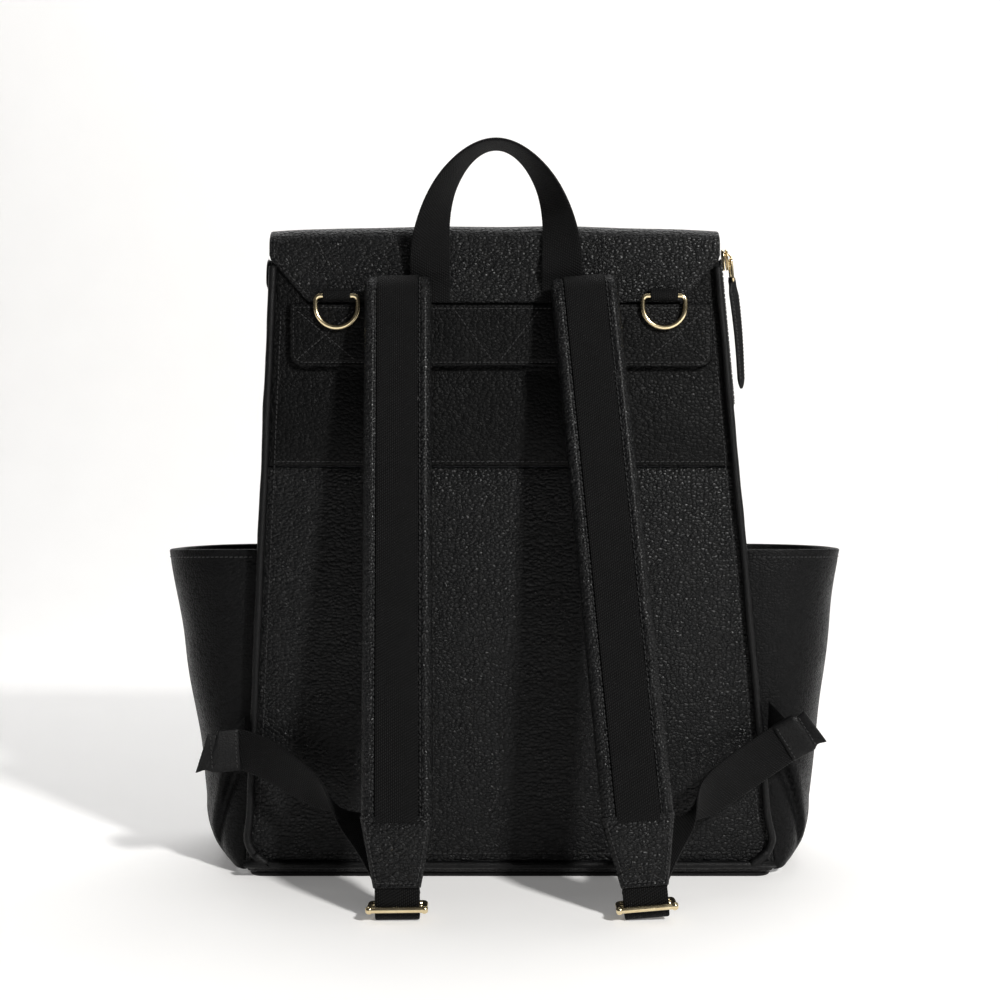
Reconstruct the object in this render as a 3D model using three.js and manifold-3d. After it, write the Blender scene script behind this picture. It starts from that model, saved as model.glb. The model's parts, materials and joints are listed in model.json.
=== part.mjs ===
// A backpack-style diaper bag, standing on its base, in millimetres. +Z is up, +Y goes from the back panel towards
// the front, and +X is to the right as the back panel is faced. The origin is the centre of the base's underside.
import * as THREE from 'three';
import Module from 'manifold-3d';

const wasm = await Module();
wasm.setup();

// ---- Driving sizes -------------------------------------------------------------------------------------------

const gap = 0.3; // between pieces that touch

const bodyHeight = 390; // base to the rim of the mouth
const baseWidth = 333;
const topWidth = 281;
const baseDepth = 165;
const topDepth = 115;
const bodyLean = 9.5; // how far the filled body leans to -X at its rim
const wall = 3; // outer leather panels with their backing
const foamThickness = 6;
const liningWall = 1.2;
const liningDrop = 6; // lining's top edge below the rim
const boardThickness = 2.5;
const seamHeight = bodyHeight - 133.5; // seam across the back panel
const pipingRadius = 2.4;
const pipingInset = 2.5; // piping centre in from the panel's edge
const pipingCorner = 18;
const pipingBottom = 8.5;
const pipingUnderFlap = 5.5; // back piping ends this far below the top of the flap's chamfer

const yokeTop = bodyHeight - 31.3;
const yokeBottom = yokeTop - 39.7;
const yokeInset = 11.9; // yoke's ends in from the panel's edges
const yokeShift = 2.7; // the yoke's centre against the leaning centre line
const yokeThickness = 5.2; // doubled leather over the sewn ends
const yokeCorner = 9;

const pocketHeight = 205; // rim of the side pockets
const pocketBottom = 3;
const pocketWall = 2.5;
const pocketBaseFlare = 36; // how far the pocket stands out just above its rounded foot
const pocketRimFlare = 72;
const pocketFootRound = 35;
const pocketRearInset = 7.5; // pocket's rear seam in from the back panel's plane
const pocketFrontInset = 7.5;
const pocketSquareness = 2.6; // 2 is an ellipse in plan

const frontPocketHalfWidth = 122;
const frontPocketBottom = 22;
const frontPocketHem = 5; // pocket's top edge above the snaps it carries
const frontPocketThickness = 3;

const innerPocketHalfWidth = 98;
const innerPocketBottom = 120;
const innerPocketTop = 262;
const innerPocketThickness = 1.5;

const flapOverhang = 0.1; // each side, past the rim
const flapThickness = 2.5;
const flapRearThickness = 1.7;
const flapChamferTop = bodyHeight - 3;
const flapChamferWidth = 24.6;
const flapHingeHeight = bodyHeight + 12.5;
const flapCrown = 5; // rise of the flap's top over its hinge
const flapHingeClearance = 1.5;
const flapFrontBottom = bodyHeight - 190;
const flapSlack = 1.1; // extra room under the flap's lower edge, because it hangs steeper than the front
const flapCorner = 26;
const flapLiningThickness = 1;
const flapLiningInset = 6;
const snapRadius = 9;
const snapThickness = 2;
const snapSpacing = 150;
const snapRise = 24; // snap centres above the flap's lower edge

const webbingWidth = 25;
const webbingThickness = 1.6;

const handleSpacing = 82; // between the centres of the handle's two legs
const handleHingeHeight = yokeTop + 21.3;
const handleRise = 77; // hinge to the underside of the grip
const handleStandOff = 14; // back panel to the handle's centre line, at the grip
const handleHingeStandOff = 7.5;

const ringSpacing = 203;
const ringShift = 2.7;
const ringBarHeight = yokeTop + 3.9;
const ringWidth = 26.2; // between the wire's centre lines
const ringArm = 6.5;
const ringWire = 1.6; // radius
const ringTabWidth = 17;
const ringTabHeight = 8.4;
const ringTabWall = 1.5; // webbing in front of the ring's bar

const strapSpacing = 114;
const strapShift = -2.8;
const strapWidth = 41;
const strapThickness = 10;
const strapSkin = 1.5;
const strapFoldInner = 1; // free radius inside the fold at the strap's top
const strapPivotHeight = yokeTop + 3.3;
const strapLean = 11.9; // degrees away from the back panel
const strapTwist = { left: -0.75, right: 4.9 }; // degrees outwards, seen from the back
const strapBandWidth = 24;
const tipLength = 37;
const tipEndWidth = 27;
const tipEndThickness = 5;
const stubLength = 18.5; // tip to the lowest point of the webbing loop
const stubLoopRadius = 3.2; // centre line of the loop round the slider's middle bar

const sliderBarSpacing = 6.4;
const sliderBarRadius = 1.6;
const sliderWidth = 31;
const sliderRise = 7.2; // slider's plane above the loop's lowest point

const anchorWidth = 26;
const anchorThickness = 4;
const anchorLength = 23;
const anchorStandOff = 14.5; // in front of the back panel's plane
const anchorSplay = 0.22; // forwards for each unit outwards
const anchorHeight = { left: 82.5, right: 86 };
const anchorReach = { left: 3.5, right: 9 }; // tab's mouth out from the body's edge
const anchorTilt = { left: -3.5, right: 32 }; // degrees
const anchorNeck = { top: 5, foot: 16, thickness: 3, rise: { left: 18, right: 24 } };

const zipSetBack = 9.5; // side zip's centre line in from the back panel's plane
const zipRunTop = bodyHeight - 3;
const zipRunLength = 94;
const zipTapeWidth = 12;
const zipTapeThickness = 1.5;
const zipBeadWidth = 5;
const zipBeadThickness = 1.2;
const mouthTapeHeight = 9;
const zipEndTabWidth = 13;
const zipEndTabHeight = 18;
const zipEndTabCentre = bodyHeight - 11;
const sliderBodyLength = 13;
const sliderBodyWidth = 9.5;
const sliderBodyThickness = 3;
const bridgeSink = 0.5; // of the slider's bridge into its body
const bridgeHalfFoot = 3.4;
const bridgeShoulder = 2;
const bridgeCentre = 1.6; // of the bridge's round top, out of the body
const bridgeRadius = 3.2;
const bridgeHalfThickness = 1.3;
const bridgeArcSteps = 6;
const linkWidth = 8;
const linkLength = 13;
const linkWire = 0.9;
const pullLength = 66;
const pullTopWidth = 9;
const pullTipWidth = 5.5;
const pullThickness = 2.8;
const pullTurn = 40; // degrees that the leather puller is turned on its link

// ---- Colours -------------------------------------------------------------------------------------------------

const makeMaterial = (color, roughness, metalness = 0) => (
  new THREE.MeshStandardMaterial({ color, roughness, metalness })
);
const leather = makeMaterial(0x1d1e21, 0.55);
const trimLeather = makeMaterial(0x17181a, 0.5);
const webbing = makeMaterial(0x131416, 0.85);
const lining = makeMaterial(0xb9b2a6, 0.9);
const foam = makeMaterial(0x55565a, 0.95);
const board = makeMaterial(0x2b2b2d, 0.8);
const zipTape = makeMaterial(0x161718, 0.8);
const gold = makeMaterial(0xd9c79a, 0.25, 1);
const steel = makeMaterial(0x9a9a9c, 0.3, 1);

// ---- Outline of the body -------------------------------------------------------------------------------------

const sides = { left: -1, right: 1 };
const radians = THREE.MathUtils.degToRad;
const backY = -baseDepth / 2;
const centreX = (z) => -bodyLean * z / bodyHeight;
const halfWidth = (z) => THREE.MathUtils.lerp(baseWidth, topWidth, z / bodyHeight) / 2;
const edgeX = (side, z) => centreX(z) + side * halfWidth(z);
const frontY = (z) => backY + THREE.MathUtils.lerp(baseDepth, topDepth, z / bodyHeight);
const flapHalfWidth = topWidth / 2 + flapOverhang;
const frontPocketTop = flapFrontBottom + snapRise + snapRadius + frontPocketHem;

// ---- Solids --------------------------------------------------------------------------------------------------

// A closed body through rings of points that match one to one. With wrap, the last ring meets the first.
function loft(rings, wrap = false) {
  const count = rings[0].length;
  const index = [];
  const spans = wrap ? rings.length : rings.length - 1;
  for (let r = 0; r < spans; r += 1) {
    const here = r * count;
    const next = ((r + 1) % rings.length) * count;
    for (let p = 0; p < count; p += 1) {
      const q = (p + 1) % count;
      index.push(here + p, here + q, next + q, here + p, next + q, next + p);
    }
  }
  if (!wrap) {
    const last = (rings.length - 1) * count;
    for (let p = 1; p < count - 1; p += 1) {
      index.push(0, p + 1, p, last, last + p, last + p + 1);
    }
  }
  const points = rings.flat();
  const volume = index.reduce((sum, vertex, i) => (
    i % 3 ? sum : sum + points[vertex].dot(points[index[i + 1]].clone().cross(points[index[i + 2]]))
  ), 0);
  const geometry = new THREE.BufferGeometry().setFromPoints(points);
  geometry.setIndex(volume > 0 ? index : index.reverse());
  return geometry;
}

// A tapered block between two heights. Each edge is a function of z.
function block(zLow, zHigh, xLow, xHigh, yLow, yHigh) {
  const ring = (z) => [
    new THREE.Vector3(xLow(z), yLow(z), z),
    new THREE.Vector3(xHigh(z), yLow(z), z),
    new THREE.Vector3(xHigh(z), yHigh(z), z),
    new THREE.Vector3(xLow(z), yHigh(z), z),
  ];
  return loft([ring(zLow), ring(zHigh)]);
}

// A flat strip along stations { at, across }, with the section's width along across. A station may give its own
// direction of travel as along.
function ribbon(stations, widthAt, thicknessAt) {
  const amount = (value, t) => (typeof value === 'function' ? value(t) : value);
  const rings = stations.map(({ at, across, along: given }, i) => {
    const before = stations[Math.max(i - 1, 0)].at;
    const after = stations[Math.min(i + 1, stations.length - 1)].at;
    const along = given ?? after.clone().sub(before).normalize();
    const normal = along.clone().cross(across).normalize();
    const side = normal.clone().cross(along).normalize();
    const t = i / (stations.length - 1);
    const w = amount(widthAt, t) / 2;
    const h = amount(thicknessAt, t) / 2;
    return [[-w, -h], [w, -h], [w, h], [-w, h]].map(([a, b]) => (
      at.clone().addScaledVector(side, a).addScaledVector(normal, b)
    ));
  });
  return loft(rings);
}

// Round wire along points that lie in one plane, whose normal is given.
function wire(points, planeNormal, radius, sidesOfSection, wrap = false) {
  const rings = points.map((at, i) => {
    const before = wrap ? points.at(i - 1) : points[Math.max(i - 1, 0)];
    const after = wrap ? points[(i + 1) % points.length] : points[Math.min(i + 1, points.length - 1)];
    const along = after.clone().sub(before).normalize();
    const out = planeNormal.clone().cross(along).normalize();
    return Array.from({ length: sidesOfSection }, (_, s) => {
      const angle = 2 * Math.PI * s / sidesOfSection;
      return at.clone()
        .addScaledVector(out, radius * Math.cos(angle))
        .addScaledVector(planeNormal, radius * Math.sin(angle));
    });
  });
  return loft(rings, wrap);
}

// Points on an arc in the plane of u and v.
function arc(centre, u, v, radius, from, to, steps) {
  return Array.from({ length: steps + 1 }, (_, i) => {
    const angle = radians(THREE.MathUtils.lerp(from, to, i / steps));
    return centre.clone()
      .addScaledVector(u, radius * Math.cos(angle))
      .addScaledVector(v, radius * Math.sin(angle));
  });
}

// A plate with the outline drawn in x and z, between two values of y.
function plate(shape, yLow, yHigh, curveSegments = 4) {
  const geometry = new THREE.ExtrudeGeometry(shape, {
    depth: yHigh - yLow, bevelEnabled: false, curveSegments,
  });
  geometry.rotateX(Math.PI / 2);
  geometry.translate(0, yHigh, 0);
  return geometry;
}

function toManifold(geometry) {
  const positions = geometry.getAttribute('position');
  const known = new Map();
  const vertices = [];
  const remap = [];
  for (let i = 0; i < positions.count; i += 1) {
    const point = [positions.getX(i), positions.getY(i), positions.getZ(i)];
    const key = point.map((value) => Math.round(value * 1e5)).join();
    if (!known.has(key)) {
      known.set(key, vertices.length / 3);
      vertices.push(...point);
    }
    remap.push(known.get(key));
  }
  const source = geometry.index ? Array.from(geometry.index.array) : remap.map((_, i) => i);
  return new wasm.Manifold(new wasm.Mesh({
    numProp: 3,
    vertProperties: new Float32Array(vertices),
    triVerts: new Uint32Array(source.map((i) => remap[i])),
  }));
}

function fromManifold(solid) {
  const mesh = solid.getMesh();
  const geometry = new THREE.BufferGeometry();
  geometry.setAttribute('position', new THREE.BufferAttribute(new Float32Array(mesh.vertProperties), 3));
  geometry.setIndex(new THREE.BufferAttribute(new Uint32Array(mesh.triVerts), 1));
  return geometry;
}

const subtract = (whole, ...cutters) => fromManifold(
  cutters.reduce((solid, cutter) => solid.subtract(toManifold(cutter)), toManifold(whole)),
);
const join = (first, ...others) => fromManifold(
  others.reduce((solid, other) => solid.add(toManifold(other)), toManifold(first)),
);

const box = (x0, x1, y0, y1, z0, z1) => (
  new THREE.BoxGeometry(x1 - x0, y1 - y0, z1 - z0).translate((x0 + x1) / 2, (y0 + y1) / 2, (z0 + z1) / 2)
);

// ---- The scene graph -----------------------------------------------------------------------------------------

const diaperBag = new THREE.Group();

function addPiece(parent, name, geometry, material) {
  geometry.computeVertexNormals();
  const mesh = new THREE.Mesh(geometry, material);
  mesh.name = name;
  parent.add(mesh);
  return mesh;
}

// ---- Panels of the body --------------------------------------------------------------------------------------

const inner = wall + gap; // panel and the gap behind it
const atEdge = (side, inset) => (z) => edgeX(side, z) - side * inset;
const level = (value) => () => value;

function addBodyPanels(parent) {
  const baseFront = frontY(0);
  addPiece(parent, 'base_panel', box(
    -baseWidth / 2, baseWidth / 2, backY, baseFront, 0, wall,
  ), leather);
  addPiece(parent, 'base_board', box(
    edgeX(-1, inner) + inner + gap + 0.5, edgeX(1, inner) - inner - gap - 0.5,
    backY + inner, frontY(inner + boardThickness) - inner - gap, inner, inner + boardThickness,
  ), board);
  const panelBack = [level(backY), level(backY + wall)];
  addPiece(parent, 'back_panel_lower', block(
    inner, seamHeight - gap / 2, atEdge(-1, 0), atEdge(1, 0), ...panelBack,
  ), leather);
  addPiece(parent, 'back_panel_upper', block(
    seamHeight + gap / 2, bodyHeight, atEdge(-1, 0), atEdge(1, 0), ...panelBack,
  ), leather);
  addPiece(parent, 'front_panel', block(
    inner, bodyHeight, atEdge(-1, 0), atEdge(1, 0), (z) => frontY(z) - wall, frontY,
  ), leather);
  for (const [name, side] of Object.entries(sides)) {
    const faces = [atEdge(side, wall), atEdge(side, 0)];
    addPiece(parent, `gusset_${name}`, block(
      inner, bodyHeight, faces[side < 0 ? 1 : 0], faces[side < 0 ? 0 : 1],
      level(backY + inner), (z) => frontY(z) - inner,
    ), leather);
  }
}

const insideBottom = inner + boardThickness + gap;
const insideTop = bodyHeight - liningDrop;
const liningBack = backY + inner + foamThickness + gap;

function addInside(parent) {
  addPiece(parent, 'back_foam', block(
    insideBottom, insideTop, atEdge(-1, inner), atEdge(1, inner),
    level(backY + inner), level(backY + inner + foamThickness),
  ), foam);
  const outside = block(
    insideBottom, insideTop, atEdge(-1, inner), atEdge(1, inner),
    level(liningBack), (z) => frontY(z) - inner,
  );
  const free = inner + liningWall;
  const hollow = block(
    insideBottom + liningWall, insideTop + liningWall, atEdge(-1, free), atEdge(1, free),
    level(liningBack + liningWall), (z) => frontY(z) - free,
  );
  addPiece(parent, 'lining', subtract(outside, hollow), lining);
  const left = (z) => centreX(z) - innerPocketHalfWidth;
  const right = (z) => centreX(z) + innerPocketHalfWidth;
  const rear = liningBack + liningWall + gap;
  addPiece(parent, 'inner_pocket_back', block(
    innerPocketBottom, innerPocketTop, left, right, level(rear), level(rear + innerPocketThickness),
  ), lining);
  const fore = free + gap;
  addPiece(parent, 'inner_pocket_front', block(
    innerPocketBottom, innerPocketTop, left, right,
    (z) => frontY(z) - fore - innerPocketThickness, (z) => frontY(z) - fore,
  ), lining);
}

function addFrontPocket(parent) {
  addPiece(parent, 'front_pocket', block(
    frontPocketBottom, frontPocketTop,
    (z) => centreX(z) - frontPocketHalfWidth, (z) => centreX(z) + frontPocketHalfWidth,
    (z) => frontY(z) + gap, (z) => frontY(z) + gap + frontPocketThickness,
  ), leather);
}

// Piping follows a panel's outline: down one side, round the bottom corners and up the other.
function addPiping(parent, name, top, planeY) {
  const point = (x, z) => new THREE.Vector3(x, planeY(z), z);
  const low = pipingBottom + pipingCorner;
  const cornerX = (side) => edgeX(side, pipingBottom) - side * (pipingInset + pipingCorner);
  const corner = (side, from, to) => Array.from({ length: 5 }, (_, i) => {
    const angle = radians(THREE.MathUtils.lerp(from, to, i / 4));
    return point(
      cornerX(side) + pipingCorner * Math.cos(angle), low + pipingCorner * Math.sin(angle),
    );
  });
  const points = [
    point(edgeX(-1, top) + pipingInset, top),
    ...corner(-1, 180, 270),
    ...corner(1, 270, 360),
    point(edgeX(1, top) - pipingInset, top),
  ];
  addPiece(parent, name, wire(points, new THREE.Vector3(0, 1, 0), pipingRadius, 8), trimLeather);
}

function addYoke(parent) {
  const middle = (yokeBottom + yokeTop) / 2;
  const half = halfWidth(middle) - yokeInset;
  const x0 = centreX(middle) + yokeShift - half;
  const x1 = centreX(middle) + yokeShift + half;
  const shape = new THREE.Shape();
  shape.moveTo(x0, yokeTop);
  shape.lineTo(x0, yokeBottom + yokeCorner);
  shape.quadraticCurveTo(x0, yokeBottom, x0 + yokeCorner, yokeBottom);
  shape.lineTo(x1 - yokeCorner, yokeBottom);
  shape.quadraticCurveTo(x1, yokeBottom, x1, yokeBottom + yokeCorner);
  shape.lineTo(x1, yokeTop);
  shape.closePath();
  addPiece(parent, 'back_yoke', plate(shape, backY - gap - yokeThickness, backY - gap), leather);
}

// ---- Side pockets --------------------------------------------------------------------------------------------

function pocketSolid(side, zLow, zHigh, inset, throughSide) {
  const flare = (z) => {
    const up = THREE.MathUtils.clamp((z - pocketFootRound) / (pocketHeight - pocketFootRound), 0, 1);
    const foot = Math.max(pocketFootRound - z, 0) / pocketFootRound;
    return THREE.MathUtils.lerp(pocketBaseFlare, pocketRimFlare, up) * Math.sqrt(1 - foot * foot);
  };
  const foot = [0, 0.12, 0.3, 0.6].map((t) => zLow + t * (pocketFootRound - zLow));
  const body = [0, 0.33, 0.67, 1].map((t) => pocketFootRound + t * (zHigh - pocketFootRound));
  const rings = [...foot, ...body].map((z) => {
    const rear = backY + pocketRearInset;
    const front = frontY(z) - pocketFrontInset;
    const centre = (rear + front) / 2;
    const reach = (front - rear) / 2 - inset;
    const out = Math.max(flare(z) - inset, 1);
    const start = edgeX(side, z) + side * gap;
    const points = Array.from({ length: 13 }, (_, i) => {
      const t = radians(THREE.MathUtils.lerp(-90, 90, i / 12));
      const power = 2 / pocketSquareness;
      const x = out * Math.max(Math.cos(t), 0) ** power;
      const y = Math.sign(Math.sin(t)) * reach * Math.abs(Math.sin(t)) ** power;
      return new THREE.Vector3(start + side * x, centre + y, z);
    });
    if (throughSide) {
      points.unshift(new THREE.Vector3(start - side * pocketWall, centre - reach, z));
      points.push(new THREE.Vector3(start - side * pocketWall, centre + reach, z));
    }
    return points;
  });
  return loft(rings);
}

function addSidePockets(parent) {
  for (const [name, side] of Object.entries(sides)) {
    const outside = pocketSolid(side, pocketBottom, pocketHeight, 0, false);
    const hollow = pocketSolid(side, pocketBottom + pocketWall, pocketHeight + 1, pocketWall, true);
    addPiece(parent, `side_pocket_${name}`, subtract(outside, hollow), leather);
  }
}

// ---- Mouth and zips ------------------------------------------------------------------------------------------

// A zip tape's profile, with the row of teeth as a raised bead along one edge or along its middle.
function addMouthTapes(parent) {
  const z0 = bodyHeight + gap;
  const z1 = z0 + mouthTapeHeight;
  const x0 = edgeX(-1, bodyHeight) + wall;
  const x1 = edgeX(1, bodyHeight) - wall;
  const rows = { rear: backY + wall / 2, front: frontY(bodyHeight) - wall / 2 };
  for (const [name, y] of Object.entries(rows)) {
    addPiece(parent, `zip_tape_${name}`, join(
      box(x0, x1, y - zipTapeThickness / 2, y + zipTapeThickness / 2, z0, z1 - zipBeadWidth / 2),
      box(
        x0, x1, y - zipBeadThickness, y + zipBeadThickness, z1 - zipBeadWidth, z1,
      ),
    ), zipTape);
  }
}

// The side zip's own frame: x out of the gusset, z up along its sloping edge, with the slider at the origin.
function sideZipFrame() {
  const frame = new THREE.Group();
  frame.position.set(edgeX(1, zipRunTop), backY + zipSetBack, zipRunTop);
  frame.rotation.y = -Math.atan2(edgeX(1, 0) - edgeX(1, bodyHeight), bodyHeight);
  frame.updateMatrixWorld();
  return frame;
}

function addSideZip(parent) {
  const frame = sideZipFrame();
  parent.add(frame);
  const tapeOut = gap + zipTapeThickness;
  const beadOut = tapeOut + zipBeadThickness;
  addPiece(frame, 'zip_side_run', join(
    box(gap, tapeOut, -zipTapeWidth / 2, zipTapeWidth / 2, -zipRunLength, 0),
    box(gap, beadOut, -zipBeadWidth / 2, zipBeadWidth / 2, -zipRunLength, 0),
  ), zipTape);

  const bodyIn = beadOut + gap;
  const bodyOut = bodyIn + sliderBodyThickness;
  const half = sliderBodyLength / 2;
  const eye = new THREE.Vector2(bodyOut + 1.6, 0);
  const bridge = new THREE.Shape();
  bridge.moveTo(bodyOut - bridgeSink, -bridgeHalfFoot);
  bridge.lineTo(bodyOut + bridgeShoulder, -bridgeRadius);
  bridge.absarc(bodyOut + bridgeCentre, 0, bridgeRadius, -Math.PI / 2, Math.PI / 2);
  bridge.lineTo(bodyOut - bridgeSink, bridgeHalfFoot);
  bridge.closePath();
  bridge.holes.push(new THREE.Path().absarc(eye.x, eye.y, linkWire + gap + 0.3, 0, 2 * Math.PI, true));
  addPiece(frame, 'zip_slider', join(
    box(bodyIn, bodyOut, -sliderBodyWidth / 2, sliderBodyWidth / 2, -half, half),
    plate(bridge, -bridgeHalfThickness, bridgeHalfThickness, bridgeArcSteps),
  ), gold);

  const corner = 1.5;
  const top = new THREE.Vector3(eye.x, 0, 0);
  const y = new THREE.Vector3(0, 1, 0);
  const down = new THREE.Vector3(0, 0, -1);
  const at = (across, drop) => top.clone().addScaledVector(y, across).addScaledVector(down, drop);
  const w = linkWidth / 2 - corner;
  const l = linkLength - corner;
  const ring = [
    ...arc(at(w, corner), y, down, corner, -90, 0, 2),
    ...arc(at(w, l), y, down, corner, 0, 90, 2),
    ...arc(at(-w, l), y, down, corner, 90, 180, 2),
    ...arc(at(-w, corner), y, down, corner, 180, 270, 2),
  ];
  addPiece(frame, 'zip_link', wire(ring, new THREE.Vector3(1, 0, 0), linkWire, 8, true), gold);

  const loopInner = linkWire + gap;
  const loopOuter = loopInner + pullThickness / 2;
  const loopWidth = linkWidth - 2 * corner - 0.6;
  const tube = (radius, length) => new THREE.CylinderGeometry(radius, radius, length, 12)
    .translate(eye.x, 0, -linkLength);
  const strip = new THREE.Shape();
  strip.moveTo(-loopWidth / 2, 1.2);
  strip.lineTo(-pullTopWidth / 2, -7);
  strip.lineTo(-pullTipWidth / 2, -pullLength + 5);
  strip.lineTo(0, -pullLength);
  strip.lineTo(pullTipWidth / 2, -pullLength + 5);
  strip.lineTo(pullTopWidth / 2, -7);
  strip.lineTo(loopWidth / 2, 1.2);
  strip.closePath();
  const tongue = plate(strip, -pullThickness / 2, pullThickness / 2)
    .rotateZ(radians(90 - pullTurn))
    .translate(eye.x, 0, -linkLength - loopInner - 1.6);
  const leatherPull = join(tube(loopOuter, loopWidth), tongue);
  addPiece(frame, 'zip_pull', fromManifold(
    toManifold(leatherPull).subtract(toManifold(tube(loopInner, pullTopWidth * 2))),
  ), trimLeather);
}

function addZipEndTab(parent) {
  const low = zipEndTabCentre - zipEndTabHeight / 2;
  const high = zipEndTabCentre + zipEndTabHeight / 2;
  const out = (z, offset) => edgeX(-1, z) - offset;
  addPiece(parent, 'zip_end_tab', block(
    low, high, (z) => out(z, gap + 2), (z) => out(z, gap),
    level(backY + zipSetBack - zipEndTabWidth / 2), level(backY + zipSetBack + zipEndTabWidth / 2),
  ), trimLeather);
}

// ---- Flap ----------------------------------------------------------------------------------------------------

const flapRearBack = backY - gap - flapRearThickness;
// Front of the body to the flap's middle, at its lower edge: the pocket, both snap halves and the flap's lining.
const flapStandOff = frontPocketThickness + 2 * snapThickness + flapLiningThickness + flapThickness / 2
  + 5 * gap + flapSlack;
const flapHinge = new THREE.Vector2(backY - gap - flapRearThickness / 2, flapHingeHeight);
const flapFrontTop = bodyHeight + 5;
const flapFoldStandOff = 2 * (pipingRadius + gap) + flapThickness / 2; // over the front piping

function addFlapRear(parent) {
  const z0 = yokeTop + gap;
  const z1 = flapHingeHeight - 0.8;
  const narrow = flapHalfWidth - flapChamferWidth;
  const outline = [
    [-narrow, z0], [narrow, z0],
    [flapHalfWidth, flapChamferTop], [flapHalfWidth, z1],
    [-flapHalfWidth, z1], [-flapHalfWidth, flapChamferTop],
  ];
  const shape = new THREE.Shape(outline.map(([x, z]) => new THREE.Vector2(x + centreX(z), z)));
  addPiece(parent, 'flap_rear', plate(shape, flapRearBack, backY - gap), leather);
}

// Middle line of the flap over the mouth, in y and z, from its hinge to the fold at the front.
function flapTopLine() {
  const front = frontY(bodyHeight);
  const crown = flapHingeHeight + flapCrown;
  const curve = new THREE.CatmullRomCurve3([
    new THREE.Vector3(0, flapHinge.x, flapHingeHeight + flapHingeClearance),
    new THREE.Vector3(0, flapHinge.x + 5, crown - 0.8),
    new THREE.Vector3(0, backY + topDepth * 0.4, crown),
    new THREE.Vector3(0, front - 6, crown - 1),
    new THREE.Vector3(0, front + flapFoldStandOff - 1, flapFrontTop + 5),
    new THREE.Vector3(0, front + flapFoldStandOff, flapFrontTop + gap + 0.5),
  ], false, 'centripetal');
  return curve.getPoints(16);
}

function addFlapTop(parent) {
  const across = new THREE.Vector3(1, 0, 0);
  const shift = centreX(flapHingeHeight);
  const line = flapTopLine();
  const stations = line.map((at) => ({ at: at.clone().setX(shift), across }));
  addPiece(parent, 'flap_top', ribbon(stations, 2 * flapHalfWidth, flapThickness), leather);
  const depth = (flapThickness + flapLiningThickness) / 2 + gap;
  const liningStations = line.slice(2, -2).map((at, i) => {
    const along = line[i + 3].clone().sub(line[i + 1]).normalize();
    const under = new THREE.Vector3(0, along.z, -along.y);
    return { at: at.clone().setX(shift).addScaledVector(under, depth), across };
  });
  const width = 2 * (flapHalfWidth - flapLiningInset);
  addPiece(parent, 'flap_lining_top', ribbon(liningStations, width, flapLiningThickness), lining);
}

// The part of the flap that hangs over the front, built flat in x and down its own length, then laid on its slope.
function addFlapFront(parent) {
  const top = new THREE.Vector3(centreX(flapFrontTop), frontY(bodyHeight) + flapFoldStandOff, flapFrontTop);
  const bottomY = frontY(flapFrontBottom) + flapStandOff;
  const slope = Math.atan2(bottomY - top.y, top.z - flapFrontBottom);
  const length = (top.z - flapFrontBottom) / Math.cos(slope);
  const panel = new THREE.Group();
  panel.position.copy(top);
  panel.rotation.x = slope;
  panel.updateMatrixWorld();
  parent.add(panel);
  const outline = (halfSpan, start, end, corner) => {
    const shape = new THREE.Shape();
    shape.moveTo(-halfSpan, -start);
    shape.lineTo(-halfSpan, -end + corner);
    shape.quadraticCurveTo(-halfSpan, -end, -halfSpan + corner, -end);
    shape.lineTo(halfSpan - corner, -end);
    shape.quadraticCurveTo(halfSpan, -end, halfSpan, -end + corner);
    shape.lineTo(halfSpan, -start);
    shape.closePath();
    return shape;
  };
  const half = flapThickness / 2;
  addPiece(panel, 'flap_front', plate(
    outline(flapHalfWidth, 0, length, flapCorner), -half, half,
  ), leather);
  const liningOut = -half - gap;
  const liningIn = liningOut - flapLiningThickness;
  addPiece(panel, 'flap_lining_front', plate(outline(
    flapHalfWidth - flapLiningInset, flapLiningInset, length - flapLiningInset,
    flapCorner - flapLiningInset,
  ), liningIn, liningOut), lining);
  const magnets = { flap: liningIn - gap, body: liningIn - gap - snapThickness - gap };
  for (const [place, outerFace] of Object.entries(magnets)) {
    for (const [name, side] of Object.entries(sides)) {
      const disc = new THREE.CylinderGeometry(snapRadius, snapRadius, snapThickness, 20);
      disc.translate(side * snapSpacing / 2, outerFace - snapThickness / 2, -length + snapRise);
      addPiece(panel, `snap_${place}_${name}`, disc, steel);
    }
  }
}

// ---- Handle --------------------------------------------------------------------------------------------------

const handleX = (side) => centreX(yokeTop) + side * handleSpacing / 2;

function addHandleRoots(parent) {
  const across = new THREE.Vector3(1, 0, 0);
  const sewnY = flapRearBack - gap - webbingThickness / 2;
  for (const [name, side] of Object.entries(sides)) {
    const leave = handleHingeHeight - 12;
    const stations = [
      new THREE.Vector3(handleX(side), sewnY, yokeTop + gap),
      new THREE.Vector3(handleX(side), sewnY, leave),
      new THREE.Vector3(handleX(side), backY - handleHingeStandOff, handleHingeHeight - 0.8),
    ].map((at) => ({ at, across }));
    addPiece(parent, `handle_root_${name}`, ribbon(stations, webbingWidth, webbingThickness), webbing);
  }
}

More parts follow.
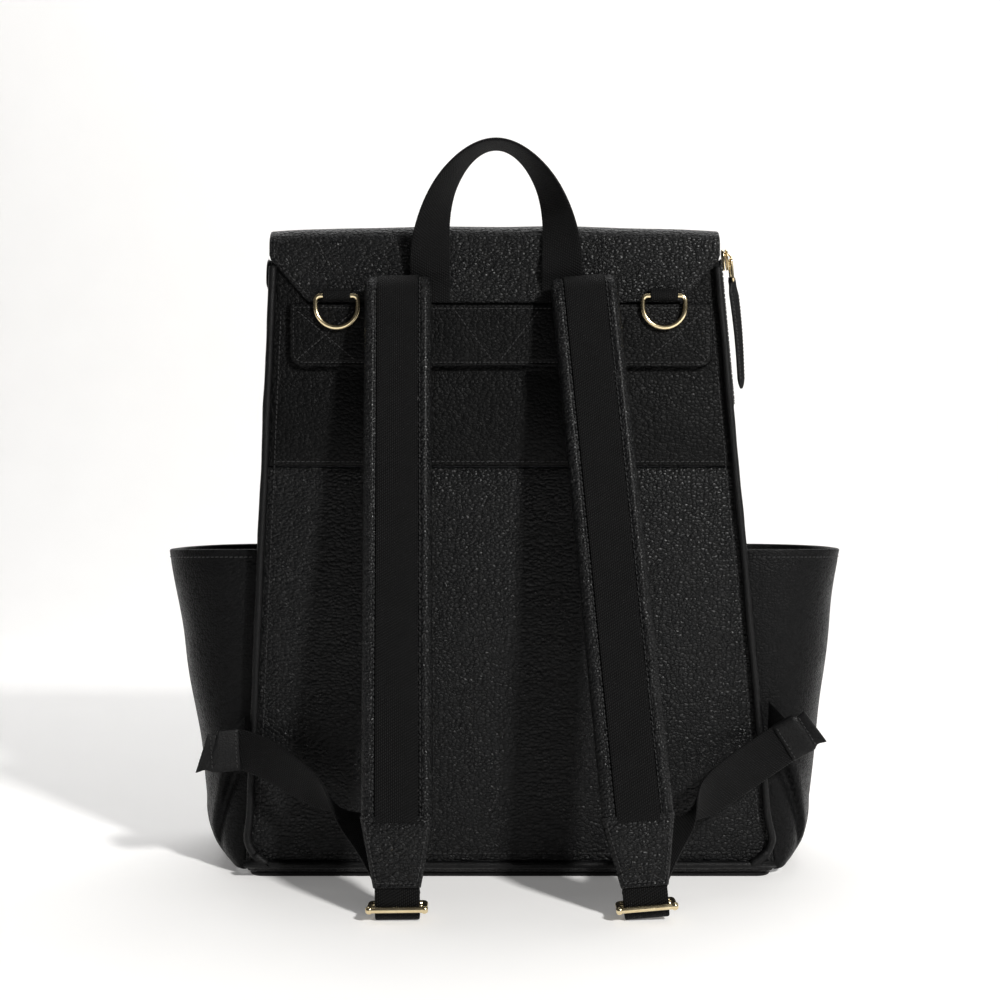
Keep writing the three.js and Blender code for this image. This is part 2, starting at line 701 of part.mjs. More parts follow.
// One webbing over both legs. Its legs face the back, and it turns a quarter by the top of the loop.
function addHandleLoop(parent) {
  const hinge = new THREE.Vector3(centreX(yokeTop), backY - handleHingeStandOff, handleHingeHeight);
  const steps = 24;
  const stations = Array.from({ length: steps + 1 }, (_, i) => {
    const t = 2 * i / steps - 1; // -1 at the left leg, 0 at the grip, 1 at the right leg
    const angle = t * Math.PI / 2;
    const rise = Math.cos(angle) ** 0.82;
    const spread = Math.sign(t) * Math.abs(Math.sin(angle)) ** 1.25;
    const lean = (handleStandOff - handleHingeStandOff) * Math.min(rise * 2, 1);
    const at = new THREE.Vector3(
      hinge.x + spread * handleSpacing / 2,
      hinge.y - lean,
      hinge.z + 0.8 + rise * handleRise,
    );
    const turn = Math.PI / 2 * (1 - Math.abs(t) ** 1.6);
    return { at, turn, t };
  });
  stations.forEach((station, i) => {
    const before = stations[Math.max(i - 1, 0)].at;
    const after = stations[Math.min(i + 1, steps)].at;
    const along = after.clone().sub(before).setY(0).normalize();
    const out = new THREE.Vector3(-along.z, 0, along.x);
    station.across = out.multiplyScalar(Math.cos(station.turn))
      .add(new THREE.Vector3(0, -Math.sin(station.turn), 0)).normalize();
  });
  addPiece(parent, 'handle_loop', ribbon(stations, webbingWidth, webbingThickness), webbing);
}

// ---- D-rings -------------------------------------------------------------------------------------------------

function addRings(parent) {
  const tabBack = flapRearBack - gap;
  const barY = backY - yokeThickness - 3 * gap - ringWire;
  const tabFront = barY - ringWire - gap - ringTabWall;
  for (const [name, side] of Object.entries(sides)) {
    const x = centreX(yokeTop) + ringShift + side * ringSpacing / 2;
    const tab = box(
      x - ringTabWidth / 2, x + ringTabWidth / 2, tabFront, tabBack,
      yokeTop + gap, yokeTop + gap + ringTabHeight,
    );
    const hole = new THREE.CylinderGeometry(ringWire + gap, ringWire + gap, ringTabWidth + 2, 16)
      .rotateZ(Math.PI / 2)
      .translate(x, barY, ringBarHeight);
    addPiece(parent, `dring_tab_${name}`, subtract(tab, hole), webbing);

    const right = new THREE.Vector3(1, 0, 0);
    const down = new THREE.Vector3(0, 0, -1);
    const bar = new THREE.Vector3(x, barY, ringBarHeight);
    const half = ringWidth / 2;
    const bend = 2.2;
    const at = (across, drop) => bar.clone().addScaledVector(right, across).addScaledVector(down, drop);
    const outline = [
      ...arc(at(half - bend, bend), right, down, bend, -90, 0, 3),
      ...arc(at(0, ringArm), right, down, half, 0, 180, 12),
      ...arc(at(-half + bend, bend), right, down, bend, 180, 270, 3),
    ];
    addPiece(parent, `dring_${name}`, wire(outline, new THREE.Vector3(0, 1, 0), ringWire, 10, true), gold);
  }
}

// ---- Shoulder straps -----------------------------------------------------------------------------------------

const foldOuter = strapFoldInner + strapThickness;
const foldSplit = 90; // degrees round the fold where the fixed part meets the part that swings
const strapPivotY = flapRearBack - gap - webbingThickness - gap - foldOuter - 0.6;

// A strap's own frame has its origin on the fold's axis, x across the strap, and hangs along -z.
function strapFrame(name) {
  const side = sides[name];
  const twist = radians(strapTwist[name]);
  const frame = new THREE.Group();
  frame.position.set(
    centreX(yokeTop) + strapShift + side * strapSpacing / 2, strapPivotY, strapPivotHeight,
  );
  frame.rotation.y = -side * Math.abs(twist) * Math.sign(twist);
  frame.updateMatrixWorld();
  return frame;
}

const acrossStrap = new THREE.Vector3(1, 0, 0);
const asStations = (points) => points.map((at) => ({ at, across: acrossStrap }));

// Stations round the fold, by angle: 180 at the back panel, 90 at the top and 0 in front.
function foldStations(from, to, offset) {
  const radius = strapFoldInner + strapThickness / 2 + offset;
  return Array.from({ length: 5 }, (_, i) => {
    const angle = radians(THREE.MathUtils.lerp(from, to, i / 4));
    return {
      at: new THREE.Vector3(0, -radius * Math.cos(angle), radius * Math.sin(angle)),
      along: new THREE.Vector3(0, -Math.sin(angle), -Math.cos(angle)),
      across: acrossStrap,
    };
  });
}

// A point on the strap's middle line below the fold, offset outwards, at the drop asked for.
function hangingPoint(drop, offset = 0) {
  const { at, along } = foldStations(strapLean, strapLean, offset)[0];
  return at.clone().addScaledVector(along, (drop + at.z) / Math.cos(radians(strapLean)));
}

const strapStations = (foldStart, offset, drop) => [
  ...foldStations(foldStart, strapLean, offset),
  ...asStations([hangingPoint(drop / 2, offset), hangingPoint(drop, offset)]),
];

function strapDrops(name) {
  const twist = Math.abs(radians(strapTwist[name]));
  const lowest = (strapPivotHeight - Math.sin(twist) * webbingWidth / 2) / Math.cos(twist) - 0.05;
  return { lowest, tipEnd: lowest - stubLength, tipStart: lowest - stubLength - tipLength };
}

function addPaddedStrap(frame, name) {
  const { tipStart } = strapDrops(name);
  const core = strapThickness - 2 * strapSkin;
  const sleeve = ribbon(strapStations(foldSplit - 16, 0, tipStart), strapWidth, strapThickness);
  const bore = ribbon(
    strapStations(foldSplit - 10, 0, tipStart + 1), strapWidth - 2 * strapSkin, core,
  );
  addPiece(frame, `strap_shell_${name}`, subtract(sleeve, bore), leather);
  addPiece(frame, `strap_foam_${name}`, ribbon(
    strapStations(foldSplit - 18, 0, tipStart - 1),
    strapWidth - 2 * (strapSkin + gap), core - 2 * gap,
  ), foam);
  const proud = strapThickness / 2 + gap + webbingThickness / 2;
  addPiece(frame, `strap_band_${name}`, ribbon(
    strapStations(foldSplit - 20, proud, tipStart), strapBandWidth, webbingThickness,
  ), webbing);
}

function addStrapRoot(frame, name) {
  addPiece(frame, `strap_root_${name}`, ribbon(
    foldStations(180, foldSplit + 10, 0), strapWidth, strapThickness,
  ), leather);
}

// The leather end piece, the webbing that leaves it, and the three-bar slider that the webbing runs through.
function addStrapEnd(frame, name) {
  const { lowest, tipStart, tipEnd } = strapDrops(name);
  const tip = [hangingPoint(tipStart + gap), hangingPoint(tipEnd)];
  addPiece(frame, `strap_tip_${name}`, ribbon(
    asStations([tip[0], tip[0].clone().lerp(tip[1], 0.5), tip[1]]),
    (t) => THREE.MathUtils.lerp(strapWidth, tipEndWidth, t),
    (t) => THREE.MathUtils.lerp(strapThickness, tipEndThickness, t),
  ), leather);

  const r = stubLoopRadius;
  const loopZ = -lowest + r + webbingThickness / 2;
  const start = hangingPoint(tipEnd + 2 * gap);
  const middleY = start.y + r;
  const bottom = Array.from({ length: 7 }, (_, i) => {
    const angle = radians(THREE.MathUtils.lerp(180, 360, i / 6));
    return new THREE.Vector3(0, middleY + r * Math.cos(angle), loopZ + r * Math.sin(angle));
  });
  const end = new THREE.Vector3(0, middleY + r, -tipEnd - 3);
  addPiece(frame, `strap_stub_${name}`, ribbon(
    asStations([start, ...bottom, end]), webbingWidth, webbingThickness,
  ), webbing);

  const sliderZ = -lowest + sliderRise;
  const bar = (y) => new THREE.CylinderGeometry(sliderBarRadius, sliderBarRadius, sliderWidth, 12)
    .rotateZ(Math.PI / 2)
    .translate(0, middleY + y, sliderZ);
  const cheek = (x) => box(
    x - sliderBarRadius, x + sliderBarRadius,
    middleY - sliderBarSpacing - sliderBarRadius, middleY + sliderBarSpacing + sliderBarRadius,
    sliderZ - sliderBarRadius, sliderZ + sliderBarRadius,
  );
  const cheekX = sliderWidth / 2 - sliderBarRadius + 0.4;
  addPiece(frame, `slider_${name}`, join(
    bar(-sliderBarSpacing), bar(0), bar(sliderBarSpacing), cheek(-cheekX), cheek(cheekX),
  ), gold);
  return frame.localToWorld(end.clone().add(new THREE.Vector3(0, 0, 2 * gap)));
}

// The leather tab sewn into the side seam, in line with the end of the adjuster webbing that it grips.
function addAnchorTab(parent, name) {
  const side = sides[name];
  const tilt = radians(anchorTilt[name]);
  const height = anchorHeight[name];
  const along = new THREE.Vector3(
    side * Math.cos(tilt), -anchorSplay, Math.sin(tilt),
  ).normalize();
  const across = new THREE.Vector3(-side * Math.sin(tilt), 0, Math.cos(tilt));
  const mouth = new THREE.Vector3(
    edgeX(side, height) + side * anchorReach[name], backY - anchorStandOff, height,
  );
  const end = mouth.clone().addScaledVector(along, anchorLength);
  const neckTop = new THREE.Vector3(
    edgeX(side, height) + side * (anchorNeck.top / 2 + 2 * gap), backY + anchorNeck.thickness,
    height + anchorNeck.rise[name],
  );
  const neckFoot = mouth.clone().lerp(end, 0.45);
  addPiece(parent, `anchor_tab_${name}`, join(
    ribbon([{ at: mouth, across }, { at: end, across }], anchorWidth, anchorThickness),
    ribbon(
      asStations([neckTop, neckFoot]),
      (t) => THREE.MathUtils.lerp(anchorNeck.top, anchorNeck.foot, t), anchorNeck.thickness,
    ),
  ), leather);
  return { landing: mouth.addScaledVector(along, -gap), along, across: across.multiplyScalar(side) };
}

// The webbing hangs free from the slider to its tab, so its route is a list of points chosen by hand: the share of
// the way across, the height, and the distance in front of the back panel.
const adjusterRoute = [[0.05, 26, 78], [0.19, 41, 60], [0.4, 55, 46], [0.61, 67, 34], [0.84, 78, 21]];

function addAdjuster(parent, name, frame, start) {
  const { landing, along, across } = addAnchorTab(parent, name);
  const up = new THREE.Vector3(0, 0, 1).transformDirection(frame.matrixWorld);
  const first = acrossStrap.clone().transformDirection(frame.matrixWorld);
  const points = adjusterRoute.map(([share, height, standOff]) => new THREE.Vector3(
    THREE.MathUtils.lerp(start.x, landing.x, share), backY - standOff, height,
  ));
  const curve = new THREE.CatmullRomCurve3([start, ...points, landing], false, 'centripetal');
  const steps = 14;
  const stations = Array.from({ length: steps + 1 }, (_, i) => ({
    at: curve.getPointAt(i / steps),
    across: first.clone().lerp(across, THREE.MathUtils.smoothstep(i / steps, 0.1, 0.9)).normalize(),
  }));
  stations[0].along = up;
  stations[steps].along = along;
  addPiece(parent, `adjuster_${name}`, ribbon(stations, webbingWidth, webbingThickness), webbing);
}

function addStrap(parent, name) {
  const frame = strapFrame(name);
  parent.add(frame);
  addStrapRoot(frame, name);
  addPaddedStrap(frame, name);
  const webbingEnd = addStrapEnd(frame, name);
  addAdjuster(parent, name, frame, webbingEnd);
}

// ---- Assembly ------------------------------------------------------------------------------------------------

addBodyPanels(diaperBag);
addInside(diaperBag);
addFrontPocket(diaperBag);
addPiping(diaperBag, 'piping_back', flapChamferTop - pipingUnderFlap, () => backY - pipingRadius - gap);
addPiping(diaperBag, 'piping_front', bodyHeight - wall, (z) => frontY(z) + pipingRadius + gap);
addYoke(diaperBag);
addSidePockets(diaperBag);
addMouthTapes(diaperBag);
addSideZip(diaperBag);
addZipEndTab(diaperBag);
addFlapRear(diaperBag);
addFlapTop(diaperBag);
addFlapFront(diaperBag);
addHandleRoots(diaperBag);
addHandleLoop(diaperBag);
addRings(diaperBag);
addStrap(diaperBag, 'left');
addStrap(diaperBag, 'right');

export default diaperBag;
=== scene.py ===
"""The looks of a backpack-style diaper bag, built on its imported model. Lengths in this file are millimetres,
and make_mesh() turns them into metres."""
import json
import math
import random

import bpy
import numpy as np
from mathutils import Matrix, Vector, noise


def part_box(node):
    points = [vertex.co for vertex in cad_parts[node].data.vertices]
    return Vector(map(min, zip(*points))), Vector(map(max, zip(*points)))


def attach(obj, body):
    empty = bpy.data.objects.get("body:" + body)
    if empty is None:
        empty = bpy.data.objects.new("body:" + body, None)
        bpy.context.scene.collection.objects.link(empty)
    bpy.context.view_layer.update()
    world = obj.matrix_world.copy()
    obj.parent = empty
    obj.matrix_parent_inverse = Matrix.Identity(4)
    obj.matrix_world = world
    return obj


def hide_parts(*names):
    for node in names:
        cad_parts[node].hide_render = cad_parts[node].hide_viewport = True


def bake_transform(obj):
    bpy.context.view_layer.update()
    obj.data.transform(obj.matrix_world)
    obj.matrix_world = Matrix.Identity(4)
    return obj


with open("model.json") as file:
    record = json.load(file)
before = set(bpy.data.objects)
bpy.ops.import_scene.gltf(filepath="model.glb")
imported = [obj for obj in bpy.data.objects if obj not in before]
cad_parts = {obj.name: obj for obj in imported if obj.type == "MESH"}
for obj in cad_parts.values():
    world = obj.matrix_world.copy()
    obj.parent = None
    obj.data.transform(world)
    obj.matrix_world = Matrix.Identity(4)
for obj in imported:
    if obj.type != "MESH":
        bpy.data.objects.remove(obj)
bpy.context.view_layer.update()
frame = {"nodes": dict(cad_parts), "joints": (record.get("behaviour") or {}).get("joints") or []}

MM = 0.001
random.seed(7)


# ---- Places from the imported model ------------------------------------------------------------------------

def cad(node):
    """Lowest and highest corner of a CAD node, in millimetres."""
    low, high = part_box(node)
    return low / MM, high / MM


def joint(name):
    """Place and axis of a joint, in millimetres."""
    found = next(j for j in frame["joints"] if j["name"] == name)
    return Vector(found["pos_m"]) / MM, Vector(found["axis"]).normalized()


SIDES = {"left": -1, "right": 1}
BASE = cad("base_panel")
BACK = BASE[0].y
RIM = cad("back_panel_upper")[1].z
SEAM = cad("back_panel_upper")[0].z
WALL = cad("back_panel_upper")[1].y - BACK
TAPES = {name: cad(f"zip_tape_{name}") for name in ("rear", "front")}
RIM_FRONT = (TAPES["front"][0].y + TAPES["front"][1].y) / 2 + WALL / 2
RIM_EDGE = {-1: TAPES["rear"][0].x - WALL, 1: TAPES["rear"][1].x + WALL}
BASE_EDGE = {-1: BASE[0].x, 1: BASE[1].x}
YOKE = cad("back_yoke")
FLAP = cad("flap_front")
FLAP_REAR = cad("flap_rear")
PLANE_GAP = 0.3


def mix(a, b, t):
    return a + (b - a) * t


def clamp(value, low=0.0, high=1.0):
    return max(low, min(high, value))


def smooth(t):
    t = clamp(t)
    return t * t * (3 - 2 * t)


def edge_x(side, z):
    """The body's edge, which runs straight from the base's corner to the rim's."""
    return mix(BASE_EDGE[side], RIM_EDGE[side], z / RIM)


def front_y(z):
    return mix(BASE[1].y, RIM_FRONT, z / RIM)


def ripple(point, size, amount):
    """A soft random unevenness, about size across."""
    return amount * noise.noise(Vector(point) / size)


# ---- Node materials --------------------------------------------------------------------------------------

class Nodes:
    """A short way to write a node tree."""

    def __init__(self, name, **surface):
        self.material = bpy.data.materials.new(name)
        self.material.use_nodes = True
        self.tree = self.material.node_tree
        self.shader = self.tree.nodes["Principled BSDF"]
        for key, value in surface.items():
            self.shader.inputs[key.replace("_", " ")].default_value = value

    def add(self, kind, inputs=None, **settings):
        node = self.tree.nodes.new(kind)
        for key, value in settings.items():
            setattr(node, key, value)
        for key, value in (inputs or {}).items():
            self.put(node.inputs[key], value)
        return node

    def put(self, socket, value):
        if isinstance(value, bpy.types.NodeSocket):
            self.tree.links.new(value, socket)
        else:
            socket.default_value = value

    def math(self, operation, *values):
        node = self.add("ShaderNodeMath", operation=operation)
        for i, value in enumerate(values):
            self.put(node.inputs[i], value)
        return node.outputs[0]

    def vector(self, operation, a, b=None, scale=None):
        node = self.add("ShaderNodeVectorMath", operation=operation)
        self.put(node.inputs[0], a)
        if b is not None:
            self.put(node.inputs[1], b)
        if scale is not None:
            self.put(node.inputs["Scale"], scale)
        return node.outputs[0]

    def place(self):
        """Place on the object, in millimetres."""
        return self.vector("SCALE", self.add("ShaderNodeTexCoord").outputs["Object"], scale=1 / MM)

    def along(self):
        """Place along and across a webbing, in millimetres, as its UV map gives it."""
        return self.vector("SCALE", self.add("ShaderNodeUVMap", uv_map="UVMap").outputs[0], scale=100.0)

    def noise(self, place, size, detail=3.0, roughness=0.55):
        node = self.add("ShaderNodeTexNoise", {"Scale": 1 / size, "Detail": detail, "Roughness": roughness})
        self.put(node.inputs["Vector"], place)
        return node.outputs["Fac"]

    def ramp(self, value, *stops):
        """Maps a number to colours, given as (position, colour) pairs."""
        node = self.add("ShaderNodeValToRGB", {"Fac": value})
        elements = node.color_ramp.elements
        while len(elements) < len(stops):
            elements.new(0.5)
        for element, (position, color) in zip(elements, stops):
            element.position = position
            element.color = (*color, 1) if isinstance(color, tuple) else (color, color, color, 1)
        return node.outputs["Color"]

    def span(self, value, from_low, from_high, low, high):
        node = self.add("ShaderNodeMapRange", {
            "Value": value, "From Min": from_low, "From Max": from_high, "To Min": low, "To Max": high,
        })
        return node.outputs["Result"]

    def bump(self, height, depth, strength=1.0, under=None):
        node = self.add("ShaderNodeBump", {
            "Height": height, "Distance": depth * MM, "Strength": strength,
        })
        if under is not None:
            self.put(node.inputs["Normal"], under)
        return node.outputs["Normal"]

    def finish(self, **links):
        for key, value in links.items():
            self.put(self.shader.inputs[key.replace("_", " ")], value)
        return self.material


def leather_material(name, dark, light, grain, depth, gloss, shine=0.22):
    """Pebbled leather. grain is the pebbles' size, depth their height, gloss the roughness of their tops and
    shine the specular level."""
    n = Nodes(name, IOR=1.5, Specular_IOR_Level=shine, Coat_Weight=0.02, Coat_Roughness=0.25)
    place = n.place()
    warp = n.add("ShaderNodeTexNoise", {"Vector": place, "Scale": 0.4 / grain, "Detail": 2.0})
    bent = n.vector("ADD", place, n.vector("SCALE", warp.outputs["Color"], scale=grain * 1.3))
    wide = n.vector("MULTIPLY", bent, (0.86, 1.0, 1.12))
    crease = n.add("ShaderNodeTexVoronoi", {
        "Vector": wide, "Scale": 1 / grain, "Randomness": 0.85,
    }, feature="DISTANCE_TO_EDGE")
    cell = n.add("ShaderNodeTexVoronoi", {
        "Vector": wide, "Scale": 1 / grain, "Randomness": 0.85,
    }, feature="F1")
    fine = n.add("ShaderNodeTexVoronoi", {"Vector": bent, "Scale": 2.6 / grain}, feature="DISTANCE_TO_EDGE")
    edge = n.span(crease.outputs["Distance"], 0.0, 0.10, 0.0, 1.0)
    round_off = n.math("MULTIPLY", cell.outputs["Distance"], cell.outputs["Distance"])
    dome = n.span(round_off, 0.0, 0.62, 1.0, 0.0)
    cut = n.span(fine.outputs["Distance"], 0.0, 0.08, 0.88, 1.0)
    uneven = n.noise(place, grain * 5, 3.0)
    raised = n.math("ADD", n.math("MULTIPLY", edge, 0.3), n.math("MULTIPLY", dome, 0.7))
    pebble = n.math("MULTIPLY", raised, cut)
    height = n.math("ADD", pebble, n.math("MULTIPLY", uneven, 0.9))
    pores = n.noise(place, grain * 0.14, 2.0)
    normal = n.bump(height, depth)
    normal = n.bump(pores, depth * 0.10, 0.6, normal)
    cloud = n.noise(place, 46.0, 4.0)
    # The colour follows the pebbles' height: darker down in the creases and lighter on the tops, painted
    # shade, mixed with a random cloudy tone.
    tone = n.math("ADD", n.math("MULTIPLY", pebble, 0.62), n.math("MULTIPLY", cloud, 0.38))
    color = n.ramp(tone, (0.22, dark), (0.80, light))
    worn = n.span(n.noise(place, 17.0, 5.0), 0.35, 0.7, -0.04, 0.06)
    rough = n.math("ADD", n.span(pebble, 0.1, 0.8, gloss + 0.25, gloss), worn)
    return n.finish(Base_Color=color, Roughness=rough, Normal=normal)


def webbing_material(name, dark, light, rib):
    """Twill webbing: rows of weft bumps, each shifted against the next so that they run in diagonals."""
    n = Nodes(name, IOR=1.46, Specular_IOR_Level=0.14, Sheen_Weight=0.01, Sheen_Roughness=0.4)
    uv = n.add("ShaderNodeSeparateXYZ", {"Vector": n.along()})
    across = n.math("DIVIDE", uv.outputs["X"], rib)
    column = n.math("FLOOR", across)
    run = n.math("ADD", n.math("DIVIDE", uv.outputs["Y"], rib * 1.5), n.math("MULTIPLY", column, 0.34))
    bead = n.math("ABSOLUTE", n.math("SINE", n.math("MULTIPLY", run, math.pi)))
    thread = n.math("ABSOLUTE", n.math("SINE", n.math("MULTIPLY", across, math.pi)))
    weave = n.math("MULTIPLY", n.math("POWER", bead, 0.6), n.math("POWER", thread, 0.5))
    fibre = n.noise(n.vector("MULTIPLY", n.along(), (9.0, 1.6, 1.0)), 1.0, 3.0)
    normal = n.bump(weave, 0.55)
    normal = n.bump(fibre, 0.07, 0.6, normal)
    # The colour follows the weave's height: darker in the hollows between the threads, painted shade, mixed
    # with a random tone.
    tone = n.math("ADD", n.math("MULTIPLY", weave, 0.6), n.math("MULTIPLY", n.noise(n.place(), 13.0), 0.4))
    color = n.ramp(tone, (0.15, dark), (0.85, light))
    rough = n.span(fibre, 0.2, 0.8, 0.52, 0.72)
    return n.finish(Base_Color=color, Roughness=rough, Normal=normal)


def cloth_material(name, dark, light, pitch, roughness):
    """Plain woven cloth."""
    n = Nodes(name, IOR=1.45, Specular_IOR_Level=0.3, Sheen_Weight=0.03, Sheen_Roughness=0.5)
    place = n.place()
    split = n.add("ShaderNodeSeparateXYZ", {"Vector": place})
    flat = n.math("ADD", split.outputs["X"], split.outputs["Y"])
    warp = n.math("SINE", n.math("MULTIPLY", flat, 2 * math.pi / pitch))
    weft = n.math("SINE", n.math("MULTIPLY", split.outputs["Z"], 2 * math.pi / pitch))
    weave = n.math("MULTIPLY", warp, weft)
    slub = n.noise(n.vector("MULTIPLY", place, (1.0, 1.0, 6.0)), pitch * 3, 4.0)
    normal = n.bump(n.math("ADD", weave, slub), 0.18)
    tone = n.math("ADD", n.math("MULTIPLY", n.noise(place, 30.0, 4.0), 0.6), n.math("MULTIPLY", slub, 0.4))
    color = n.ramp(tone, (0.3, dark), (0.7, light))
    rough = n.span(weave, -1.0, 1.0, roughness, roughness - 0.1)
    return n.finish(Base_Color=color, Roughness=rough, Normal=normal)


def thread_material(name, dark, light):
    """Waxed thread, with the plies' twist as fine slanting lines."""
    n = Nodes(name, IOR=1.5, Sheen_Weight=0.1)
    place = n.place()
    twist = n.add("ShaderNodeTexWave", {
        "Vector": place, "Scale": 2.4, "Distortion": 1.5, "Detail": 1.0,
    }, bands_direction="DIAGONAL")
    color = n.ramp(n.noise(place, 1.5), (0.3, dark), (0.8, light))
    rough = n.span(twist.outputs["Fac"], 0.0, 1.0, 0.62, 0.4)
    return n.finish(Base_Color=color, Roughness=rough, Normal=n.bump(twist.outputs["Fac"], 0.05))


def metal_material(name, color, edge, roughness):
    """Polished plated metal with faint handling marks."""
    n = Nodes(name, Metallic=1.0, Specular_IOR_Level=0.5, Anisotropic=0.15)
    place = n.place()
    brushed = n.noise(n.vector("MULTIPLY", place, (0.5, 3.0, 3.0)), 1.2, 4.0)
    marks = n.noise(place, 4.0, 5.0, 0.7)
    tint = n.ramp(marks, (0.3, edge), (0.65, color))
    rough = n.span(brushed, 0.25, 0.8, roughness * 0.8, roughness * 1.5)
    return n.finish(Base_Color=tint, Roughness=rough, Normal=n.bump(brushed, 0.006))


def foam_material(name):
    n = Nodes(name, Specular_IOR_Level=0.3)
    cells = n.add("ShaderNodeTexVoronoi", {"Vector": n.place(), "Scale": 2.2})
    # The colour is darker in the cells' hollows, where the bump is lowest: painted shade.
    color = n.ramp(cells.outputs["Distance"], (0.0, (0.09, 0.092, 0.1)), (0.8, (0.14, 0.142, 0.15)))
    rough = n.span(cells.outputs["Distance"], 0.0, 1.0, 0.98, 0.85)
    return n.finish(Base_Color=color, Roughness=rough, Normal=n.bump(cells.outputs["Distance"], 0.2))


def board_material(name):
    n = Nodes(name, Specular_IOR_Level=0.4)
    place = n.place()
    pulp = n.noise(place, 1.4, 6.0, 0.7)
    color = n.ramp(pulp, (0.3, (0.02, 0.02, 0.021)), (0.7, (0.036, 0.035, 0.034)))
    return n.finish(Base_Color=color, Roughness=n.span(pulp, 0.2, 0.8, 0.7, 0.9), Normal=n.bump(pulp, 0.15))


leather = leather_material(
    "pebbled_leather", (0.0003, 0.0003, 0.0004), (0.0036, 0.0038, 0.0042), 2.3, 0.66, 0.28, 0.21)
smooth_leather = leather_material(
    "smooth_leather", (0.0002, 0.0002, 0.0003), (0.0014, 0.0015, 0.0016), 2.3, 0.38, 0.34, 0.11)
fine_leather = leather_material(
    "fine_leather", (0.0004, 0.0004, 0.0005), (0.0024, 0.0025, 0.0028), 1.7, 0.30, 0.36, 0.11)
trim_leather = leather_material(
    "trim_leather", (0.0006, 0.0006, 0.0007), (0.0032, 0.0033, 0.0036), 1.3, 0.18, 0.38, 0.18)
webbing = webbing_material("twill_webbing", (0.0003, 0.0003, 0.0003), (0.0046, 0.0046, 0.0049), 1.15)
lining = cloth_material("lining_cloth", (0.36, 0.33, 0.29), (0.47, 0.44, 0.40), 0.7, 0.85)
zip_cloth = cloth_material("zip_tape_cloth", (0.002, 0.002, 0.0022), (0.006, 0.006, 0.0065), 0.6, 0.75)
thread = thread_material("stitching_thread", (0.0035, 0.0035, 0.0038), (0.0110, 0.0110, 0.0120))
nylon = thread_material("zip_coil_nylon", (0.008, 0.008, 0.0085), (0.018, 0.018, 0.019))
gold = metal_material("pale_gold", (0.86, 0.73, 0.47), (0.76, 0.61, 0.36), 0.17)
steel = metal_material("snap_steel", (0.62, 0.62, 0.63), (0.45, 0.45, 0.47), 0.25)
foam = foam_material("foam")
board = board_material("board")


# ---- Meshes ----------------------------------------------------------------------------------------------

def make_mesh(name, points, faces, material, uvs=None):
    """A smooth piece. The faces turn outwards, whichever way round the points were made."""
    points = np.asarray(points, float)
    triangles = [(f[0], f[i], f[i + 1]) for f in faces for i in range(1, len(f) - 1)]
    a, b, c = (points[[t[k] for t in triangles]] for k in range(3))
    if np.einsum("ij,ij->i", a, np.cross(b, c)).sum() < 0:
        faces = [tuple(reversed(f)) for f in faces]
    mesh = bpy.data.meshes.new(name)
    mesh.from_pydata((points * MM).tolist(), [], faces)
    mesh.polygons.foreach_set("use_smooth", [True] * len(mesh.polygons))
    if uvs is not None:
        layer = mesh.uv_layers.new(name="UVMap")
        for loop in mesh.loops:
            u, v = uvs[loop.vertex_index]
            layer.data[loop.index].uv = (u / 100, v / 100)
    mesh.materials.append(material)
    piece = bpy.data.objects.new(name, mesh)
    bpy.context.scene.collection.objects.link(piece)
    return piece


def spaced(low, high, step, edge=0.0, count=None):
    """Places from low to high, about step apart, with close ones at both ends where an edge is rounded."""
    count = count or max(int(round((high - low - 2 * edge) / step)), 1) + 1
    middle = np.linspace(low + edge, high - edge, count)
    if not edge:
        return middle
    near = np.array([0.0, 0.12, 0.45]) * edge
    return np.concatenate([low + near, middle, high - near[::-1]])


def grid_normals(grid):
    down = np.gradient(grid, axis=0)
    across = np.gradient(grid, axis=1)
    normal = np.cross(across, down)
    size = np.linalg.norm(normal, axis=2, keepdims=True)
    return normal / np.maximum(size, 1e-9)


def border_distance(grid, joined):
    """Distance of each grid point from the sheet's border, along the grid's own lines. A first or last row
    that is joined to another piece doesn't count as border."""
    def walk(axis):
        steps = np.linalg.norm(np.diff(grid, axis=axis), axis=2)
        total = np.cumsum(steps, axis=axis)
        pad = [(0, 0), (0, 0)]
        pad[axis] = (1, 0)
        start = np.pad(total, pad)
        end = np.take(total, [-1], axis=axis) - start
        if axis == 0:
            start = start + (1e3 if joined[0] else 0)
            end = end + (1e3 if joined[1] else 0)
        return np.minimum(start, end)
    return np.minimum(walk(0), walk(1))


def sheet(name, grid, thickness, material, outside, soft=1.0, joined=(False, False)):
    """A closed sheet with rounded edges. grid holds its outer face, and outside points out of that face."""
    grid = np.asarray(grid, float)
    normal = grid_normals(grid)
    if np.einsum("ijk,k->ij", normal, np.asarray(outside, float)).sum() < 0:
        normal = -normal
    radius = thickness / 2 * soft
    depth = np.clip(radius - border_distance(grid, joined), 0, radius)
    fall = (radius - np.sqrt(np.maximum(radius ** 2 - depth ** 2, 0)))[:, :, None]
    outer = grid - normal * fall
    inner = grid - normal * (thickness - fall)
    rows, columns = grid.shape[:2]
    points = np.concatenate([outer.reshape(-1, 3), inner.reshape(-1, 3)])
    half = rows * columns
    faces = []
    for r in range(rows - 1):
        for c in range(columns - 1):
            a = r * columns + c
            quad = (a, a + 1, a + columns + 1, a + columns)
            faces.append(quad)
            faces.append(tuple(half + v for v in reversed(quad)))
    ring = [c for c in range(columns)]
    ring += [r * columns + columns - 1 for r in range(1, rows)]
    ring += [(rows - 1) * columns + c for c in range(columns - 2, -1, -1)]
    ring += [r * columns for r in range(rows - 2, 0, -1)]
    for here, after in zip(ring, ring[1:] + ring[:1]):
        faces.append((after, here, half + here, half + after))
    return make_mesh(name, points, faces, material)


def unit(vector):
    return vector / max(np.linalg.norm(vector), 1e-9)


